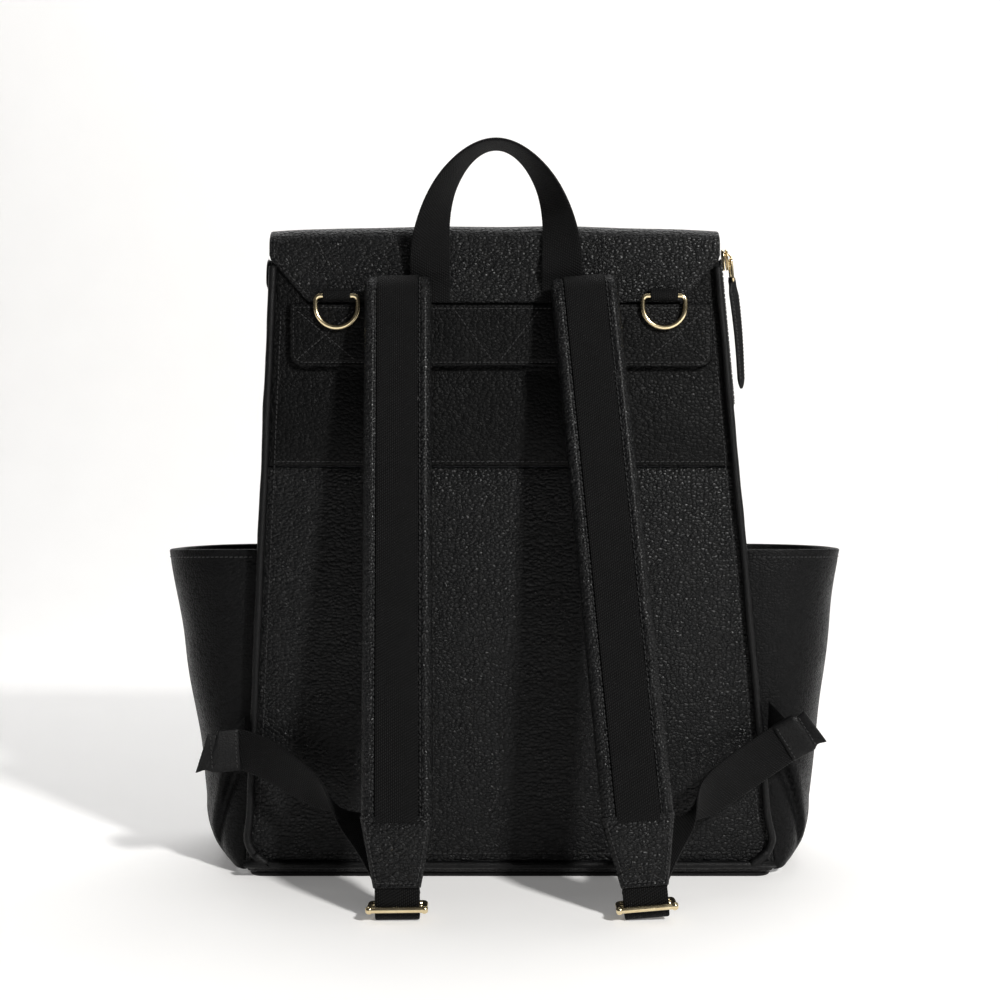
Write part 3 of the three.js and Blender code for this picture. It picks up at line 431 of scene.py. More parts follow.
def frames_along(path, across):
    """(place, side, normal) at each point of a path. across is one direction, or one for each point."""
    path = np.asarray(path, float)
    across = np.broadcast_to(np.asarray(across, float), path.shape)
    made = []
    for i, at in enumerate(path):
        along = unit(path[min(i + 1, len(path) - 1)] - path[max(i - 1, 0)])
        normal = unit(np.cross(along, across[i]))
        made.append((at, unit(np.cross(normal, along)), normal))
    return made


def sweep(name, frames, profile, material, closed=False):
    """A section carried along frames. profile(t) gives the section's closed line of (across, out) points."""
    points, uvs = [], []
    length = 0.0
    for i, (at, side, normal) in enumerate(frames):
        if i:
            length += float(np.linalg.norm(at - frames[i - 1][0]))
        section = profile(i / max(len(frames) - 1, 1))
        for a, b in section:
            points.append(at + side * a + normal * b)
            uvs.append((a, length))
    count = len(section)
    faces = []
    spans = len(frames) if closed else len(frames) - 1
    for r in range(spans):
        here, after = r * count, ((r + 1) % len(frames)) * count
        for p in range(count):
            q = (p + 1) % count
            faces.append((here + p, here + q, after + q, after + p))
    if not closed:
        for start, turn in ((0, 1), (len(points) - count, -1)):
            middle = np.mean(points[start:start + count], axis=0)
            points.append(middle)
            uvs.append(uvs[start])
            hub = len(points) - 1
            for p in range(count):
                pair = (start + (p + 1) % count, start + p)[::turn]
                faces.append((*pair, hub))
    return make_mesh(name, points, faces, material, uvs)


def flat_profile(width, thickness, sag=0.0):
    """Section of webbing: flat, with rounded selvedges, slightly dished by sag."""
    edge = thickness / 2
    reach = width / 2 - edge
    top = [(a, edge - sag * (1 - (a / reach) ** 2)) for a in np.linspace(-reach, reach, 9)]
    low = [(a, -edge - sag * (1 - (a / reach) ** 2)) for a in np.linspace(reach, -reach, 9)]
    cap = [(math.cos(t) * edge, math.sin(t) * edge) for t in np.radians([55, 20, -20, -55])]
    right = [(reach + a, b) for a, b in cap]
    left = [(-reach - a, b) for a, b in reversed(cap)]
    return top + right + low + left


def round_profile(radius, count=14):
    return [(radius * math.cos(t), radius * math.sin(t)) for t in np.arange(count) * 2 * math.pi / count]


def curve_through(points, step=2.0, closed=False):
    """A smooth curve through chosen points, with places about step apart."""
    points = [np.asarray(p, float) for p in points]
    ends = [points[-1], *points, points[0], points[1]] if closed else [
        2 * points[0] - points[1], *points, 2 * points[-1] - points[-2]]
    made = []
    for i in range(1, len(ends) - 2):
        a, b, c, d = ends[i - 1:i + 3]
        count = max(int(np.linalg.norm(c - b) / step), 2)
        for k in range(count):
            t = k / count
            made.append(0.5 * (
                2 * b + (c - a) * t + (2 * a - 5 * b + 4 * c - d) * t ** 2
                + (3 * b - a - 3 * c + d) * t ** 3))
    if not closed:
        made.append(points[-1])
    return np.array(made)


def walk_path(path, pitch, closed=False):
    """(place, direction, share of the way) every pitch along a path."""
    path = np.asarray(path, float)
    steps = np.linalg.norm(np.diff(path, axis=0), axis=1)
    total = np.concatenate([[0], np.cumsum(steps)])
    count = max(int(total[-1] / pitch), 1)
    for k in range(count):
        s = (k + 0.5) * total[-1] / count
        i = min(int(np.searchsorted(total, s)) - 1, len(path) - 2)
        i = max(i, 0)
        t = (s - total[i]) / max(steps[i], 1e-9)
        yield path[i] + (path[i + 1] - path[i]) * t, unit(path[i + 1] - path[i]), s / total[-1]


STITCH = {"pitch": 3.1, "length": 2.3, "radius": 0.33}


def stitches(name, paths, out, body, pitch=STITCH["pitch"], rise=0.12):
    """Rows of stitches. Each one is a short rounded thread that dives into the leather at both ends.
    out is the direction out of the leather, or a function of the place that gives it."""
    points, faces = [], []
    shape = [
        (-0.5, 0.25, -0.32), (-0.38, 0.85, -0.05), (0.0, 1.0, 0.05),
        (0.38, 0.85, -0.05), (0.5, 0.25, -0.32),
    ]
    length = STITCH["length"] * pitch / STITCH["pitch"]
    for path in paths:
        for at, along, _ in walk_path(path, pitch):
            normal = unit(np.asarray(out(at) if callable(out) else out, float))
            side = unit(np.cross(normal, along))
            ahead = unit(along + side * random.uniform(0.05, 0.17))
            side = unit(np.cross(normal, ahead))
            start = len(points)
            for run, girth, lift in shape:
                centre = at + ahead * run * length + normal * (rise + lift)
                for k in range(6):
                    angle = k * math.pi / 3
                    points.append(centre + (side * math.cos(angle) + normal * math.sin(angle))
                                  * STITCH["radius"] * girth)
            for r in range(len(shape) - 1):
                for k in range(6):
                    a, b = start + r * 6 + k, start + r * 6 + (k + 1) % 6
                    faces.append((a, b, b + 6, a + 6))
            faces.append(tuple(start + k for k in range(5, -1, -1)))
            faces.append(tuple(start + 24 + k for k in range(6)))
    piece = make_mesh(name, points, faces, thread)
    if body:
        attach(piece, body)
    return piece


def settle(piece, body, slot_name, *nodes):
    """Hangs a finished piece on its body's empty and hides the CAD nodes that it stands for. slot_name is not
    used.
    """
    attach(piece, body)
    if nodes:
        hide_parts(*nodes)
    return piece


# ---- Camera, floor and light -----------------------------------------------------------------------------

def make_camera():
    data = bpy.data.cameras.new("camera")
    data.lens = 51.8
    data.sensor_width = 36.0
    camera = bpy.data.objects.new("camera", data)
    bpy.context.scene.collection.objects.link(camera)
    camera.location = Vector((-6.3, BACK - 900.0, 236.0)) * MM
    camera.rotation_euler = (math.radians(90), 0, 0)
    bpy.context.scene.camera = camera
    bpy.context.scene.view_settings.view_transform = "Standard"


def make_stage():
    """A pale floor that sweeps up into a pale wall."""
    n = Nodes("studio_paper", Roughness=0.9, Specular_IOR_Level=0.1, Emission_Color=(1, 0.985, 0.97, 1),
              Emission_Strength=0.16)
    paper = n.noise(n.place(), 60.0, 3.0)
    color = n.ramp(paper, (0.3, (0.90, 0.895, 0.89)), (0.7, (0.92, 0.915, 0.91)))
    material = n.finish(Base_Color=color, Normal=n.bump(paper, 0.05))
    bend, back, span = 500.0, 1900.0, 7000.0
    line = [(-span, 0.0), (back - bend, 0.0)]
    for turn in np.radians(range(10, 91, 10)):
        line.append((back - bend + bend * math.sin(turn), bend - bend * math.cos(turn)))
    line += [(back, span)]
    points = [(x, y, z) for y, z in line for x in (-span, span)]
    faces = [(2 * i, 2 * i + 1, 2 * i + 3, 2 * i + 2) for i in range(len(line) - 1)]
    floor = make_mesh("studio_floor", points, faces, material)


def area_light(name, place, target, size, power, color=(1, 1, 1)):
    data = bpy.data.lights.new(name, "AREA")
    data.shape = "RECTANGLE"
    data.size, data.size_y = size
    data.energy = power
    data.color = color
    light = bpy.data.objects.new(name, data)
    bpy.context.scene.collection.objects.link(light)
    light.location = place
    light.rotation_euler = (Vector(target) - Vector(place)).to_track_quat("-Z", "Y").to_euler()


def make_light():
    world = bpy.data.worlds.new("studio")
    bpy.context.scene.world = world
    world.use_nodes = True
    world.node_tree.nodes["Background"].inputs["Color"].default_value = (1.0, 1.0, 1.0, 1)
    world.node_tree.nodes["Background"].inputs["Strength"].default_value = 0.06
    middle = (0, 0, 0.2)
    area_light("key", (1.22, -1.95, 1.42), middle, (0.22, 0.22), 70, (1.0, 0.99, 0.97))
    area_light("overhead", (0.0, 1.0, 2.4), (0, 0.4, 0), (2.6, 1.8), 34)


# ---- Body ------------------------------------------------------------------------------------------------

CORNER = 5.0
FOOT = 8.0
FOOT_START = 2.6
PANEL = 2.6


def foot_inset(z):
    """How far the walls curl in under the body at their foot."""
    drop = max(FOOT - z, 0)
    return FOOT - math.sqrt(FOOT ** 2 - drop ** 2)


def pinch(t, power):
    return max(math.sin(math.pi * clamp(t)), 0) ** power


def puff_back(t, z):
    """The filled body pushes the back panel out between its seams. The yoke holds it flat above."""
    soft = ripple((t * 320, 3, z), 62, 1.1) + ripple((t * 320, 9, z), 25, 0.3)
    if z < SEAM:
        return pinch(t, 0.5) * pinch(z / SEAM, 0.55) * (4.2 + soft)
    up = (z - SEAM) / (YOKE[0].z - 6 - SEAM)
    return pinch(t, 0.5) * pinch(up, 0.6) * (2.4 + soft)


def puff_side(t, z):
    up = z / RIM
    fold = -3.4 * math.exp(-((t - 0.52) / 0.16) ** 2) * smooth((up - 0.5) / 0.4)
    return pinch(t, 0.7) * (1.6 + ripple((t * 140, 40, z), 48, 1.6)) * pinch(up * 0.92 + 0.04, 0.4) + fold


def puff_front(t, z):
    low = cad("front_pocket")[1].z
    swell = 1.6 * pinch(z / low, 0.6) if z < low else -1.2 * smooth((z - low) / 40)
    return pinch(t, 0.5) * swell + 0.4 * ripple((t * 300, 70, z), 40, 1.0) * pinch(t, 0.5)


FACES = {
    "back": (225, (-1, 0), (1, 0), puff_back),
    "right": (315, (1, 0), (1, 1), puff_side),
    "front": (45, (1, 1), (-1, 1), puff_front),
    "left": (135, (-1, 1), (-1, 0), puff_side),
}


def wall_row(face, z):
    """One row of the body's outline at a height: half a corner, a flat stretch and half a corner."""
    start, first, second, puff = FACES[face]
    inset = foot_inset(z)

    def corner(mark):
        side, end = mark
        x = edge_x(side or -1, z) if side < 0 else edge_x(1, z)
        y = front_y(z) - inset if end else BACK + inset
        return np.array([x - side * (inset + CORNER), y + (-CORNER if end else CORNER), z])

    a, b = corner(first), corner(second)
    row = []
    for turn in (0, 15, 30):
        angle = math.radians(start + turn)
        row.append(a + CORNER * np.array([math.cos(angle), math.sin(angle), 0]))
    angle = math.radians(start + 45)
    out = np.array([math.cos(angle), math.sin(angle), 0])
    flat = 56 if face in ("back", "front") else 30
    for t in np.linspace(0, 1, flat):
        row.append(a + (b - a) * t + out * (CORNER + puff(float(t), z)))
    for turn in (60, 75, 90):
        angle = math.radians(start + turn)
        row.append(b + CORNER * np.array([math.cos(angle), math.sin(angle), 0]))
    return row


def wall(name, face, low, high, material, out, *nodes):
    rows = [z for z in spaced(low, high, 4.5, PANEL / 2)]
    if low < FOOT:
        rows = sorted(set(rows) | {low + 1.6, low + 3.6})
    piece = sheet(name, [wall_row(face, float(z)) for z in rows], PANEL, material, out)
    return settle(piece, "bag", "leather", *nodes)


def make_body():
    wall("back_panel_lower_leather", "back", FOOT_START, SEAM - 0.1, leather, (0, -1, 0), "back_panel_lower")
    wall("back_panel_upper_leather", "back", SEAM + 0.1, RIM, smooth_leather, (0, -1, 0), "back_panel_upper")
    wall("gusset_left_leather", "left", FOOT_START, RIM, leather, (-1, 0, 0), "gusset_left")
    wall("gusset_right_leather", "right", FOOT_START, RIM, leather, (1, 0, 0), "gusset_right")
    wall("front_panel_leather", "front", FOOT_START, RIM, leather, (0, 1, 0), "front_panel")


def make_base():
    """The base's leather, with rounded corners in plan."""
    low, high = BASE
    inset, round_corner = 2.2, 9.0
    middle = (low + high) / 2
    half_x, half_y = (high.x - low.x) / 2 - inset, (high.y - low.y) / 2 - inset
    corners = [(1, 1, 0), (-1, 1, 90), (-1, -1, 180), (1, -1, 270)]
    ring = []
    for sx, sy, start in corners:
        for turn in range(0, 91, 10):
            angle = math.radians(start + turn)
            ring.append((
                middle.x + sx * (half_x - round_corner) + round_corner * math.cos(angle),
                middle.y + sy * (half_y - round_corner) + round_corner * math.sin(angle),
            ))
    levels = [(0.0, 1.4), (0.35, 0.5), (1.3, 0.0), (2.6, 0.2), (3.2, 1.2)]
    points = []
    for z, pull in levels:
        for x, y in ring:
            out = unit(np.array([x - middle.x, y - middle.y]))
            points.append((x - out[0] * pull, y - out[1] * pull, z))
    count = len(ring)
    faces = []
    for r in range(len(levels) - 1):
        for p in range(count):
            q = (p + 1) % count
            faces.append((r * count + p, r * count + q, (r + 1) * count + q, (r + 1) * count + p))
    faces.append(tuple(range(count - 1, -1, -1)))
    faces.append(tuple(range((len(levels) - 1) * count, len(levels) * count)))
    settle(make_mesh("base_leather", points, faces, trim_leather), "bag", "leather", "base_panel")


# ---- Piping and the seams beside it ----------------------------------------------------------------------

def piping_path(node, plane):
    """Down one side of a panel, round its bottom corners and up the other side."""
    low, high = cad(node)
    radius = 2.4
    bottom, corner = low.z + radius, 18.0
    top = high.z
    inset = 2.5

    def at(x, z):
        return (x, plane(z), z)

    def corner_points(side, start):
        cx = edge_x(side, bottom) - side * (inset + corner)
        return [at(cx + corner * math.cos(a), bottom + corner + corner * math.sin(a))
                for a in np.radians(np.linspace(start, start + 90, 7))]

    def side_points(side):
        heights = np.linspace(top, bottom + corner + 14, 16)
        return [at(edge_x(side, z) - side * inset + ripple((side * 50, 1, z), 45, 0.5), z) for z in heights]

    return [*side_points(-1), *corner_points(-1, 180), *corner_points(1, 270), *reversed(side_points(1))]


def make_piping(name, node, plane, out):
    path = curve_through(piping_path(node, plane), 2.5)
    radius = 2.4

    def profile(t):
        girth = radius * (1 + 0.05 * math.sin(t * 97) + 0.03 * math.sin(t * 251))
        return round_profile(girth)

    frames = frames_along(path, (0, out, 0))
    settle(sweep(name, frames, profile, trim_leather), "bag", "trim_leather", node)
    wraps = []
    for side in (-1, 1):
        corner = [p for p in path if p[2] < 27 and side * (p[0] - edge_x(side, 9)) > -26]
        wraps.append(np.array(corner))
    for side, stretch in zip(("left", "right"), wraps):
        middle = len(stretch) // 2
        some = stretch[max(middle - 3, 0):middle + 4]
        sleeve = sweep(f"{name}_wrap_{side}", frames_along(some, (0, out, 0)),
                       lambda t: round_profile(radius + 0.75 * pinch(t, 0.35)), trim_leather)
        settle(sleeve, "bag", "trim_leather")


def make_all_piping():
    rear_plane = (cad("piping_back")[0].y + cad("piping_back")[1].y) / 2
    make_piping("piping_back_roll", "piping_back", lambda z: rear_plane, -1)
    stand = cad("piping_front")[1].y - 2.4 - front_y(cad("piping_front")[0].z + 2.4)
    make_piping("piping_front_roll", "piping_front", lambda z: front_y(z) + stand, 1)


def back_surface(x, z):
    """A place on the back panel's outer face."""
    left, right = edge_x(-1, z), edge_x(1, z)
    t = (x - left - CORNER) / (right - left - 2 * CORNER)
    return (x, BACK - (puff_back(t, z) if 0 < t < 1 else 0), z)


def make_body_seams():
    rows = []
    for side in (-1, 1):
        inset = 8.2
        heights = np.linspace(YOKE[1].z - 4, 34, 120)
        rows.append([back_surface(edge_x(side, z) - side * inset, z) for z in heights])
    bottom = 15.5
    rows.append([back_surface(x, bottom) for x in np.linspace(edge_x(-1, 15) + 30, edge_x(1, 15) - 30, 90)])
    stitches("stitches_back_edges", rows, (0, -1, 0), "bag")
    seam = [back_surface(x, SEAM + 3.4) for x in np.linspace(edge_x(-1, SEAM) + 9, edge_x(1, SEAM) - 9, 90)]
    stitches("stitches_back_seam", [seam], (0, -1, 0), "bag", rise=0.2)


# ---- Yoke ------------------------------------------------------------------------------------------------

def outline_rows(low, high, corner_low, corner_high, step, edge):
    """Row heights for a panel with rounded or cut corners, closer together at the corners."""
    rows = set(float(z) for z in spaced(low, high, step, edge))
    for angle in np.radians(range(0, 91, 15)):
        if corner_low:
            rows.add(float(low + corner_low * (1 - math.cos(angle))))
        if corner_high:
            rows.add(float(high - corner_high * (1 - math.cos(angle))))
    ordered = sorted(rows)
    return [z for i, z in enumerate(ordered) if i == 0 or z - ordered[i - 1] > 0.05]


def corner_inset(distance, radius):
    """How far a rounded corner pulls the side in, at a distance from the panel's end."""
    short = max(radius - distance, 0)
    return radius - math.sqrt(max(radius ** 2 - short ** 2, 0))


def yoke_face(x, z):
    low, high = YOKE
    t = (x - low.x) / (high.x - low.x)
    up = (z - low.z) / (high.z - low.z)
    swell = 0.7 * pinch(t, 0.3) * pinch(up, 0.5) + ripple((x, 20, z), 26, 0.35)
    border = min(x - low.x, high.x - x, z - low.z, high.z - z)
    groove = 0.55 * math.exp(-((border - 2.7) / 0.8) ** 2)
    return (x, low.y + 0.7 - swell + groove, z)


def yoke_top(x):
    """The yoke's top edge dips a little between its sewn places."""
    low, high = YOKE
    return high.z - 0.9 * pinch((x - low.x) / (high.x - low.x), 0.8)


def make_yoke():
    low, high = YOKE
    thickness = high.y - low.y - 1.0
    grid = []
    for z in outline_rows(low.z, high.z, 9.0, 0, 1.6, thickness / 2):
        inset = corner_inset(z - low.z, 9.0)
        share = (z - low.z) / (high.z - low.z)
        row = []
        for x in spaced(low.x + inset, high.x - inset, 2.0, thickness / 2, 130):
            x = float(x)
            row.append(yoke_face(x, low.z + share * (yoke_top(x) - low.z)))
        grid.append(row)
    yoke = sheet("yoke_leather", grid, thickness, smooth_leather, (0, -1, 0), 0.6)
    settle(yoke, "bag", "leather", "back_yoke")

    inset = 2.7
    corner = 6.5
    x0, x1, z0 = low.x + inset, high.x - inset, low.z + inset
    border = [(x0, yoke_top(x0) - inset), (x0, z0 + corner)]
    border += [(x0 + corner - corner * math.cos(a), z0 + corner - corner * math.sin(a))
               for a in np.radians(range(15, 91, 15))]
    border += [(x, z0) for x in np.linspace(x0 + corner, x1 - corner, 60)][1:-1]
    border += [(x1 - corner + corner * math.sin(a), z0 + corner - corner * math.cos(a))
               for a in np.radians(range(0, 91, 15))]
    border += [(x1, yoke_top(x1) - inset)]
    top = [(x, yoke_top(x) - inset) for x in np.linspace(x0, x1, 90)]
    boxes = []
    left_ring, right_ring = cad("dring_tab_left"), cad("dring_tab_right")
    legs = [cad("handle_root_left"), cad("handle_root_right")]
    spans = [(low.x + 5, left_ring[1].x + 2), (right_ring[0].x - 2, high.x - 5),
             (legs[0][1].x + 3, (legs[0][1].x + legs[1][0].x) / 2 - 3),
             ((legs[0][1].x + legs[1][0].x) / 2 + 3, legs[1][0].x - 2)]
    tall = (low.z + 4.5, high.z - 5.0)
    for start, end in spans:
        boxes.append([(start, tall[1]), (end, tall[0])])
        boxes.append([(start, tall[0]), (end, tall[1])])
    boxes.pop(5)
    boxes.pop(5)
    lines = []
    for line in [border, top, *boxes]:
        line = [tuple(mix(np.array(a), np.array(b), t)) for a, b in zip(line, line[1:])
                for t in np.linspace(0, 1, 12, endpoint=False)] + [line[-1]]
        lines.append([yoke_face(float(x), float(z)) for x, z in line])
    stitches("stitches_yoke", lines, (0, -1, 0), "bag", pitch=2.7)


# ---- Side pockets ----------------------------------------------------------------------------------------

POCKET_TOP = cad("side_pocket_left")[1].z
POCKET_LOW = cad("side_pocket_left")[0].z
POCKET_WALL = 2.4


def pocket_place(side, t, z):
    """A place on a side pocket's outer face. t runs from -1 at the rear seam to 1 at the front seam."""
    rim_flare, base_flare, foot = (67.5 if side < 0 else 71.5), 35.0, 42.0
    rear, front = BACK + 7.5, front_y(z) - 7.5
    up = clamp((z - foot) / (POCKET_TOP - foot))
    under = max(foot - z, 0) / foot
    flare = mix(base_flare, rim_flare, up) * math.sqrt(max(1 - under * under, 0.0))
    flare = max(flare, 1.0)
    power = 2 / 2.6
    angle = t * math.pi / 2
    out = flare * max(math.cos(angle), 0) ** power
    along = math.copysign(abs(math.sin(angle)) ** power, t)
    y = (rear + front) / 2 + along * (front - rear) / 2
    sag = 1.0 * math.sin(math.pi * up) * math.cos(angle) * math.sin(angle * 3 + 0.6)
    wave = ripple((side * 90 + out, y, z), 50, 1.6) * max(math.cos(angle), 0) ** 0.5
    tab = cad("anchor_tab_left" if side < 0 else "anchor_tab_right")
    tab_z = tab[0].z
    crease_at = -0.93 + 0.42 * clamp((tab_z - z) / 70)
    crease = 0.0
    if 6 < z < tab_z + 12:
        fade = smooth((tab_z + 12 - z) / 26) * smooth((z - 6) / 22)
        crease = 5.0 * math.exp(-((t - crease_at) / 0.055) ** 2) * fade
        crease -= 2.2 * math.exp(-((t - crease_at - 0.13) / 0.07) ** 2) * fade
    lip = 0.6 * math.exp(-((POCKET_TOP - z - 5.0) / 1.1) ** 2)
    reach = out + (sag + wave) * clamp(out / 20)
    return np.array([edge_x(side, z) + side * (0.3 + max(reach, 0.0) - lip * math.cos(angle)),
                     y + crease + (lip * abs(math.sin(angle)) * (1 if t < 0 else -1)), z])


def pocket_rim(side, t):
    """The rim's own height, which dips a little between the seams."""
    return POCKET_TOP - 1.4 * math.cos(t * math.pi / 2) ** 2 * (1 if side < 0 else 0.7)


def make_side_pockets():
    for name, side in SIDES.items():
        columns = np.sin(np.linspace(-1, 1, 61) * math.pi / 2)
        columns = np.sign(columns) * np.abs(columns) ** 0.9
        grid = []
        for z in spaced(POCKET_LOW, POCKET_TOP, 4.0, POCKET_WALL / 2):
            share = (z - POCKET_LOW) / (POCKET_TOP - POCKET_LOW)
            grid.append([
                pocket_place(side, float(t), POCKET_LOW + share * (pocket_rim(side, t) - POCKET_LOW))
                for t in columns
            ])
        pocket = sheet(f"side_pocket_{name}_leather", grid, POCKET_WALL, fine_leather, (side, -0.4, 0))
        settle(pocket, "bag", "leather", f"side_pocket_{name}")
        hem = 5.0
        shares = np.linspace(-0.985, 0.985, 160)
        path = [pocket_place(side, float(t), pocket_rim(side, t) - hem) for t in shares]
        middle = np.array([edge_x(side, POCKET_TOP), (BACK + front_y(POCKET_TOP)) / 2, 0])

        def out(at, middle=middle):
            flat = np.array([at[0] - middle[0], at[1] - middle[1], 0])
            return flat * np.array([1.0, 1.6, 0])

        stitches(f"stitches_pocket_{name}", [path], out, "bag", rise=0.25)


# ---- Front pocket ----------------------------------------------------------------------------------------

def make_front_pocket():
    low, high = cad("front_pocket")
    thickness = 2.4
    stand = PLANE_GAP + thickness

    def face(x, z, share):
        t = (x - low.x) / (high.x - low.x)
        swell = 5.0 * pinch(t, 0.55) * pinch(clamp(share * 1.25), 0.7) * (1 - smooth((z - 165) / 40))
        border = min(x - low.x, high.x - x, z - low.z)
        groove = 0.4 * math.exp(-((border - 3.2) / 0.9) ** 2)
        return (x, front_y(z) + stand + swell + ripple((x, 90, z), 40, 0.6) * pinch(t, 0.5) - groove, z)

    grid = []
    for z in outline_rows(low.z, high.z, 16.0, 0, 4.0, thickness / 2):
        inset = corner_inset(z - low.z, 16.0)
        share = (z - low.z) / (high.z - low.z)
        shift = (RIM_EDGE[1] + RIM_EDGE[-1]) / 2 * z / RIM
        half = (high.x - low.x - abs(RIM_EDGE[1] + RIM_EDGE[-1]) / 2 * (high.z - low.z) / RIM) / 2 - inset
        grid.append([face(float(x), z, share)
                     for x in spaced(shift - half, shift + half, 4, thickness / 2, 64)])
    pocket = sheet("front_pocket_leather", grid, thickness, leather, (0, 1, 0))
    settle(pocket, "bag", "leather", "front_pocket")
    grid = np.array(grid)
    inner = grid[3:-3, 3:-3]
    path = [*inner[::-1, 0], *inner[0, 1:-1], *inner[:, -1]]
    hem = grid[-7, 4:-4]
    stitches("stitches_front_pocket", [path, hem], (0, 1, 0), "bag", rise=0.2)


# ---- Flap ------------------------------------------------------------------------------------------------

FLAP_WALL = 2.2
FLAP_MIDDLE = (FLAP_REAR[0].x + FLAP_REAR[1].x) / 2
FLAP_HALF = (FLAP_REAR[1].x - FLAP_REAR[0].x) / 2
FLAP_CROWN = cad("flap_top")[1].z


def flap_line():
    """The flap's outer face in y and z: up from the yoke, over the mouth and down the front."""
    rear = FLAP_REAR[0].y - 0.1
    front_top, front_low = FLAP[0].y + FLAP_WALL + 0.3, FLAP[1].y
    top = FLAP_CROWN
    chosen = [
        (rear, FLAP_REAR[0].z), (rear, top - 34), (rear - 0.2, top - 18), (rear + 0.6, top - 8.5),
        (rear + 4.6, top - 3.0), (rear + 12, top - 0.9), (rear + 34, top - 0.2), (-10, top - 0.6),
        (FLAP[0].y - 16, top - 1.4), (FLAP[0].y - 5, top - 3.8), (FLAP[0].y + 0.6, top - 9.5),
        (front_top, top - 19), (mix(front_top, front_low, 0.5), mix(top - 19, FLAP[0].z, 0.5)),
        (front_low, FLAP[0].z),
    ]
    return curve_through([(0, y, z) for y, z in chosen], 1.2)


FLAP_LINE = flap_line()
FLAP_RUN = np.concatenate([[0], np.cumsum(np.linalg.norm(np.diff(FLAP_LINE, axis=0), axis=1))])


def flap_face(x, s):
    """A place on the flap's outer face, at x and at a distance s along its line."""
    y, z = (float(np.interp(s, FLAP_RUN, FLAP_LINE[:, k])) for k in (1, 2))
    across = (x - FLAP_MIDDLE) / FLAP_HALF
    on_top = smooth((z - (FLAP_CROWN - 16)) / 12)
    z -= 2.6 * across ** 4 * on_top + 0.8 * across ** 2 * on_top
    front = smooth((y - 38) / 8)
    z += ripple((x, s, 5), 55, 1.0) * on_top
    y += ripple((x, s, 15), 45, 1.4) * front * pinch((s - 150) / (FLAP_RUN[-1] - 150), 0.5)
    border = FLAP_HALF - abs(x - FLAP_MIDDLE)
    groove = 0.35 * math.exp(-((border - 3.4) / 0.8) ** 2)
    return np.array([x, y + groove * (1 - on_top) * (1 if y < 0 else -1), z - groove * on_top])


def flap_half(s):
    """The flap's half width: cut corners at the yoke, rounded corners at the front's lower edge."""
    z = float(np.interp(s, FLAP_RUN, FLAP_LINE[:, 2]))
    half = FLAP_HALF
    if s < 60:
        chamfer_top = cad("flap_rear")[0].z + 28.0
        narrow = 24.6 * clamp((chamfer_top - z) / 28.0)
        half -= narrow
    left = FLAP_RUN[-1] - s
    return half - corner_inset(left, 26.0)


def flap_place(s, inset=0.0, side=1):
    half = flap_half(s) - inset
    return flap_face(FLAP_MIDDLE + side * half, s)


def flap_sheet(start, end):
    stops = [start, end]
    rows = set(float(s) for s in np.arange(start, end, 3.0)) | {end}
    for stop, edged in ((start, start == 0.0), (end, abs(end - FLAP_RUN[-1]) < 1e-6)):
        if edged:
            for near in (0.15, 0.5, 1.1):
                rows.add(stop + near if stop == start else stop - near)
    if stops[1] == FLAP_RUN[-1]:
        rows |= {float(end - 26.0 * (1 - math.cos(a))) for a in np.radians(range(8, 90, 10))}
    grid = []
    for s in sorted(rows):
        half = flap_half(s)
        grid.append([flap_face(float(x), s) for x in spaced(
            FLAP_MIDDLE - half, FLAP_MIDDLE + half, 4, FLAP_WALL / 2, 66)])
    return grid


def flap_piece(name, start, end, outside):
    joined = (start > 0, end < FLAP_RUN[-1] - 1)
    return sheet(name, flap_sheet(start, end), FLAP_WALL, leather, outside, joined=joined)


def run_at(height, front):
    """Distance along the flap's line where it passes a height, behind the mouth or in front of it."""
    found = [s for s, p in zip(FLAP_RUN, FLAP_LINE) if (p[1] > -20) == front and
             (p[2] <= height if front else p[2] >= height)]
    return float(min(found))


def make_flap():
    fold, _ = joint("flap_fold")
    total = float(FLAP_RUN[-1])
    rear_end = run_at(FLAP_CROWN - 1.0, False)
    fold_start = run_at(FLAP_CROWN - 1.5, True)
    fold_end = run_at(fold.z - 12, True)
    rear = flap_piece("flap_rear_leather", 0.0, rear_end, (0, -1, 0.4))
    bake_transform(rear)
    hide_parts("flap_rear")
    top = flap_piece("flap_top_leather", rear_end, fold_start, (0, 0, 1))
    settle(top, "flap", "leather", "flap_top")
    bend = flap_piece("flap_fold_leather", fold_start, fold_end, (0, 1, 1))
    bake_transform(bend)
    front = flap_piece("flap_front_leather", fold_end, total, (0, 1, 0))
    settle(front, "flap_front", "leather", "flap_front")
    rows = []
    for side in (-1, 1):
        rows.append([flap_place(s, 3.4, side) for s in np.linspace(3.5, rear_end, 60)])
    piece = stitches("stitches_flap_rear", rows, (0, -1, 0.2), None, rise=0.15)
    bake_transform(piece)
    rows = [[flap_place(s, 3.4, side) for s in np.linspace(rear_end, fold_start, 90)] for side in (-1, 1)]
    stitches("stitches_flap_top", rows, (0, 0, 1), "flap", rise=0.15)
    down = [flap_place(s, 3.4, -1) for s in np.linspace(fold_end, total - 3.4, 160)]
    across = np.linspace(down[-1][0], 2 * FLAP_MIDDLE - down[-1][0], 80)
    bottom = [flap_face(float(x), total - 3.4) for x in across]
    up = [flap_place(s, 3.4, 1) for s in np.linspace(total - 3.4, fold_end, 160)]
    stitches("stitches_flap_front", [[*down, *bottom[1:-1], *up]], (0, 1, 0.1), "flap_front", rise=0.15)


# ---- Webbing: handle, rings' loops and rings -------------------------------------------------------------

WEB_WIDTH = cad("handle_root_left")[1].x - cad("handle_root_left")[0].x
WEB_THICK = 1.7


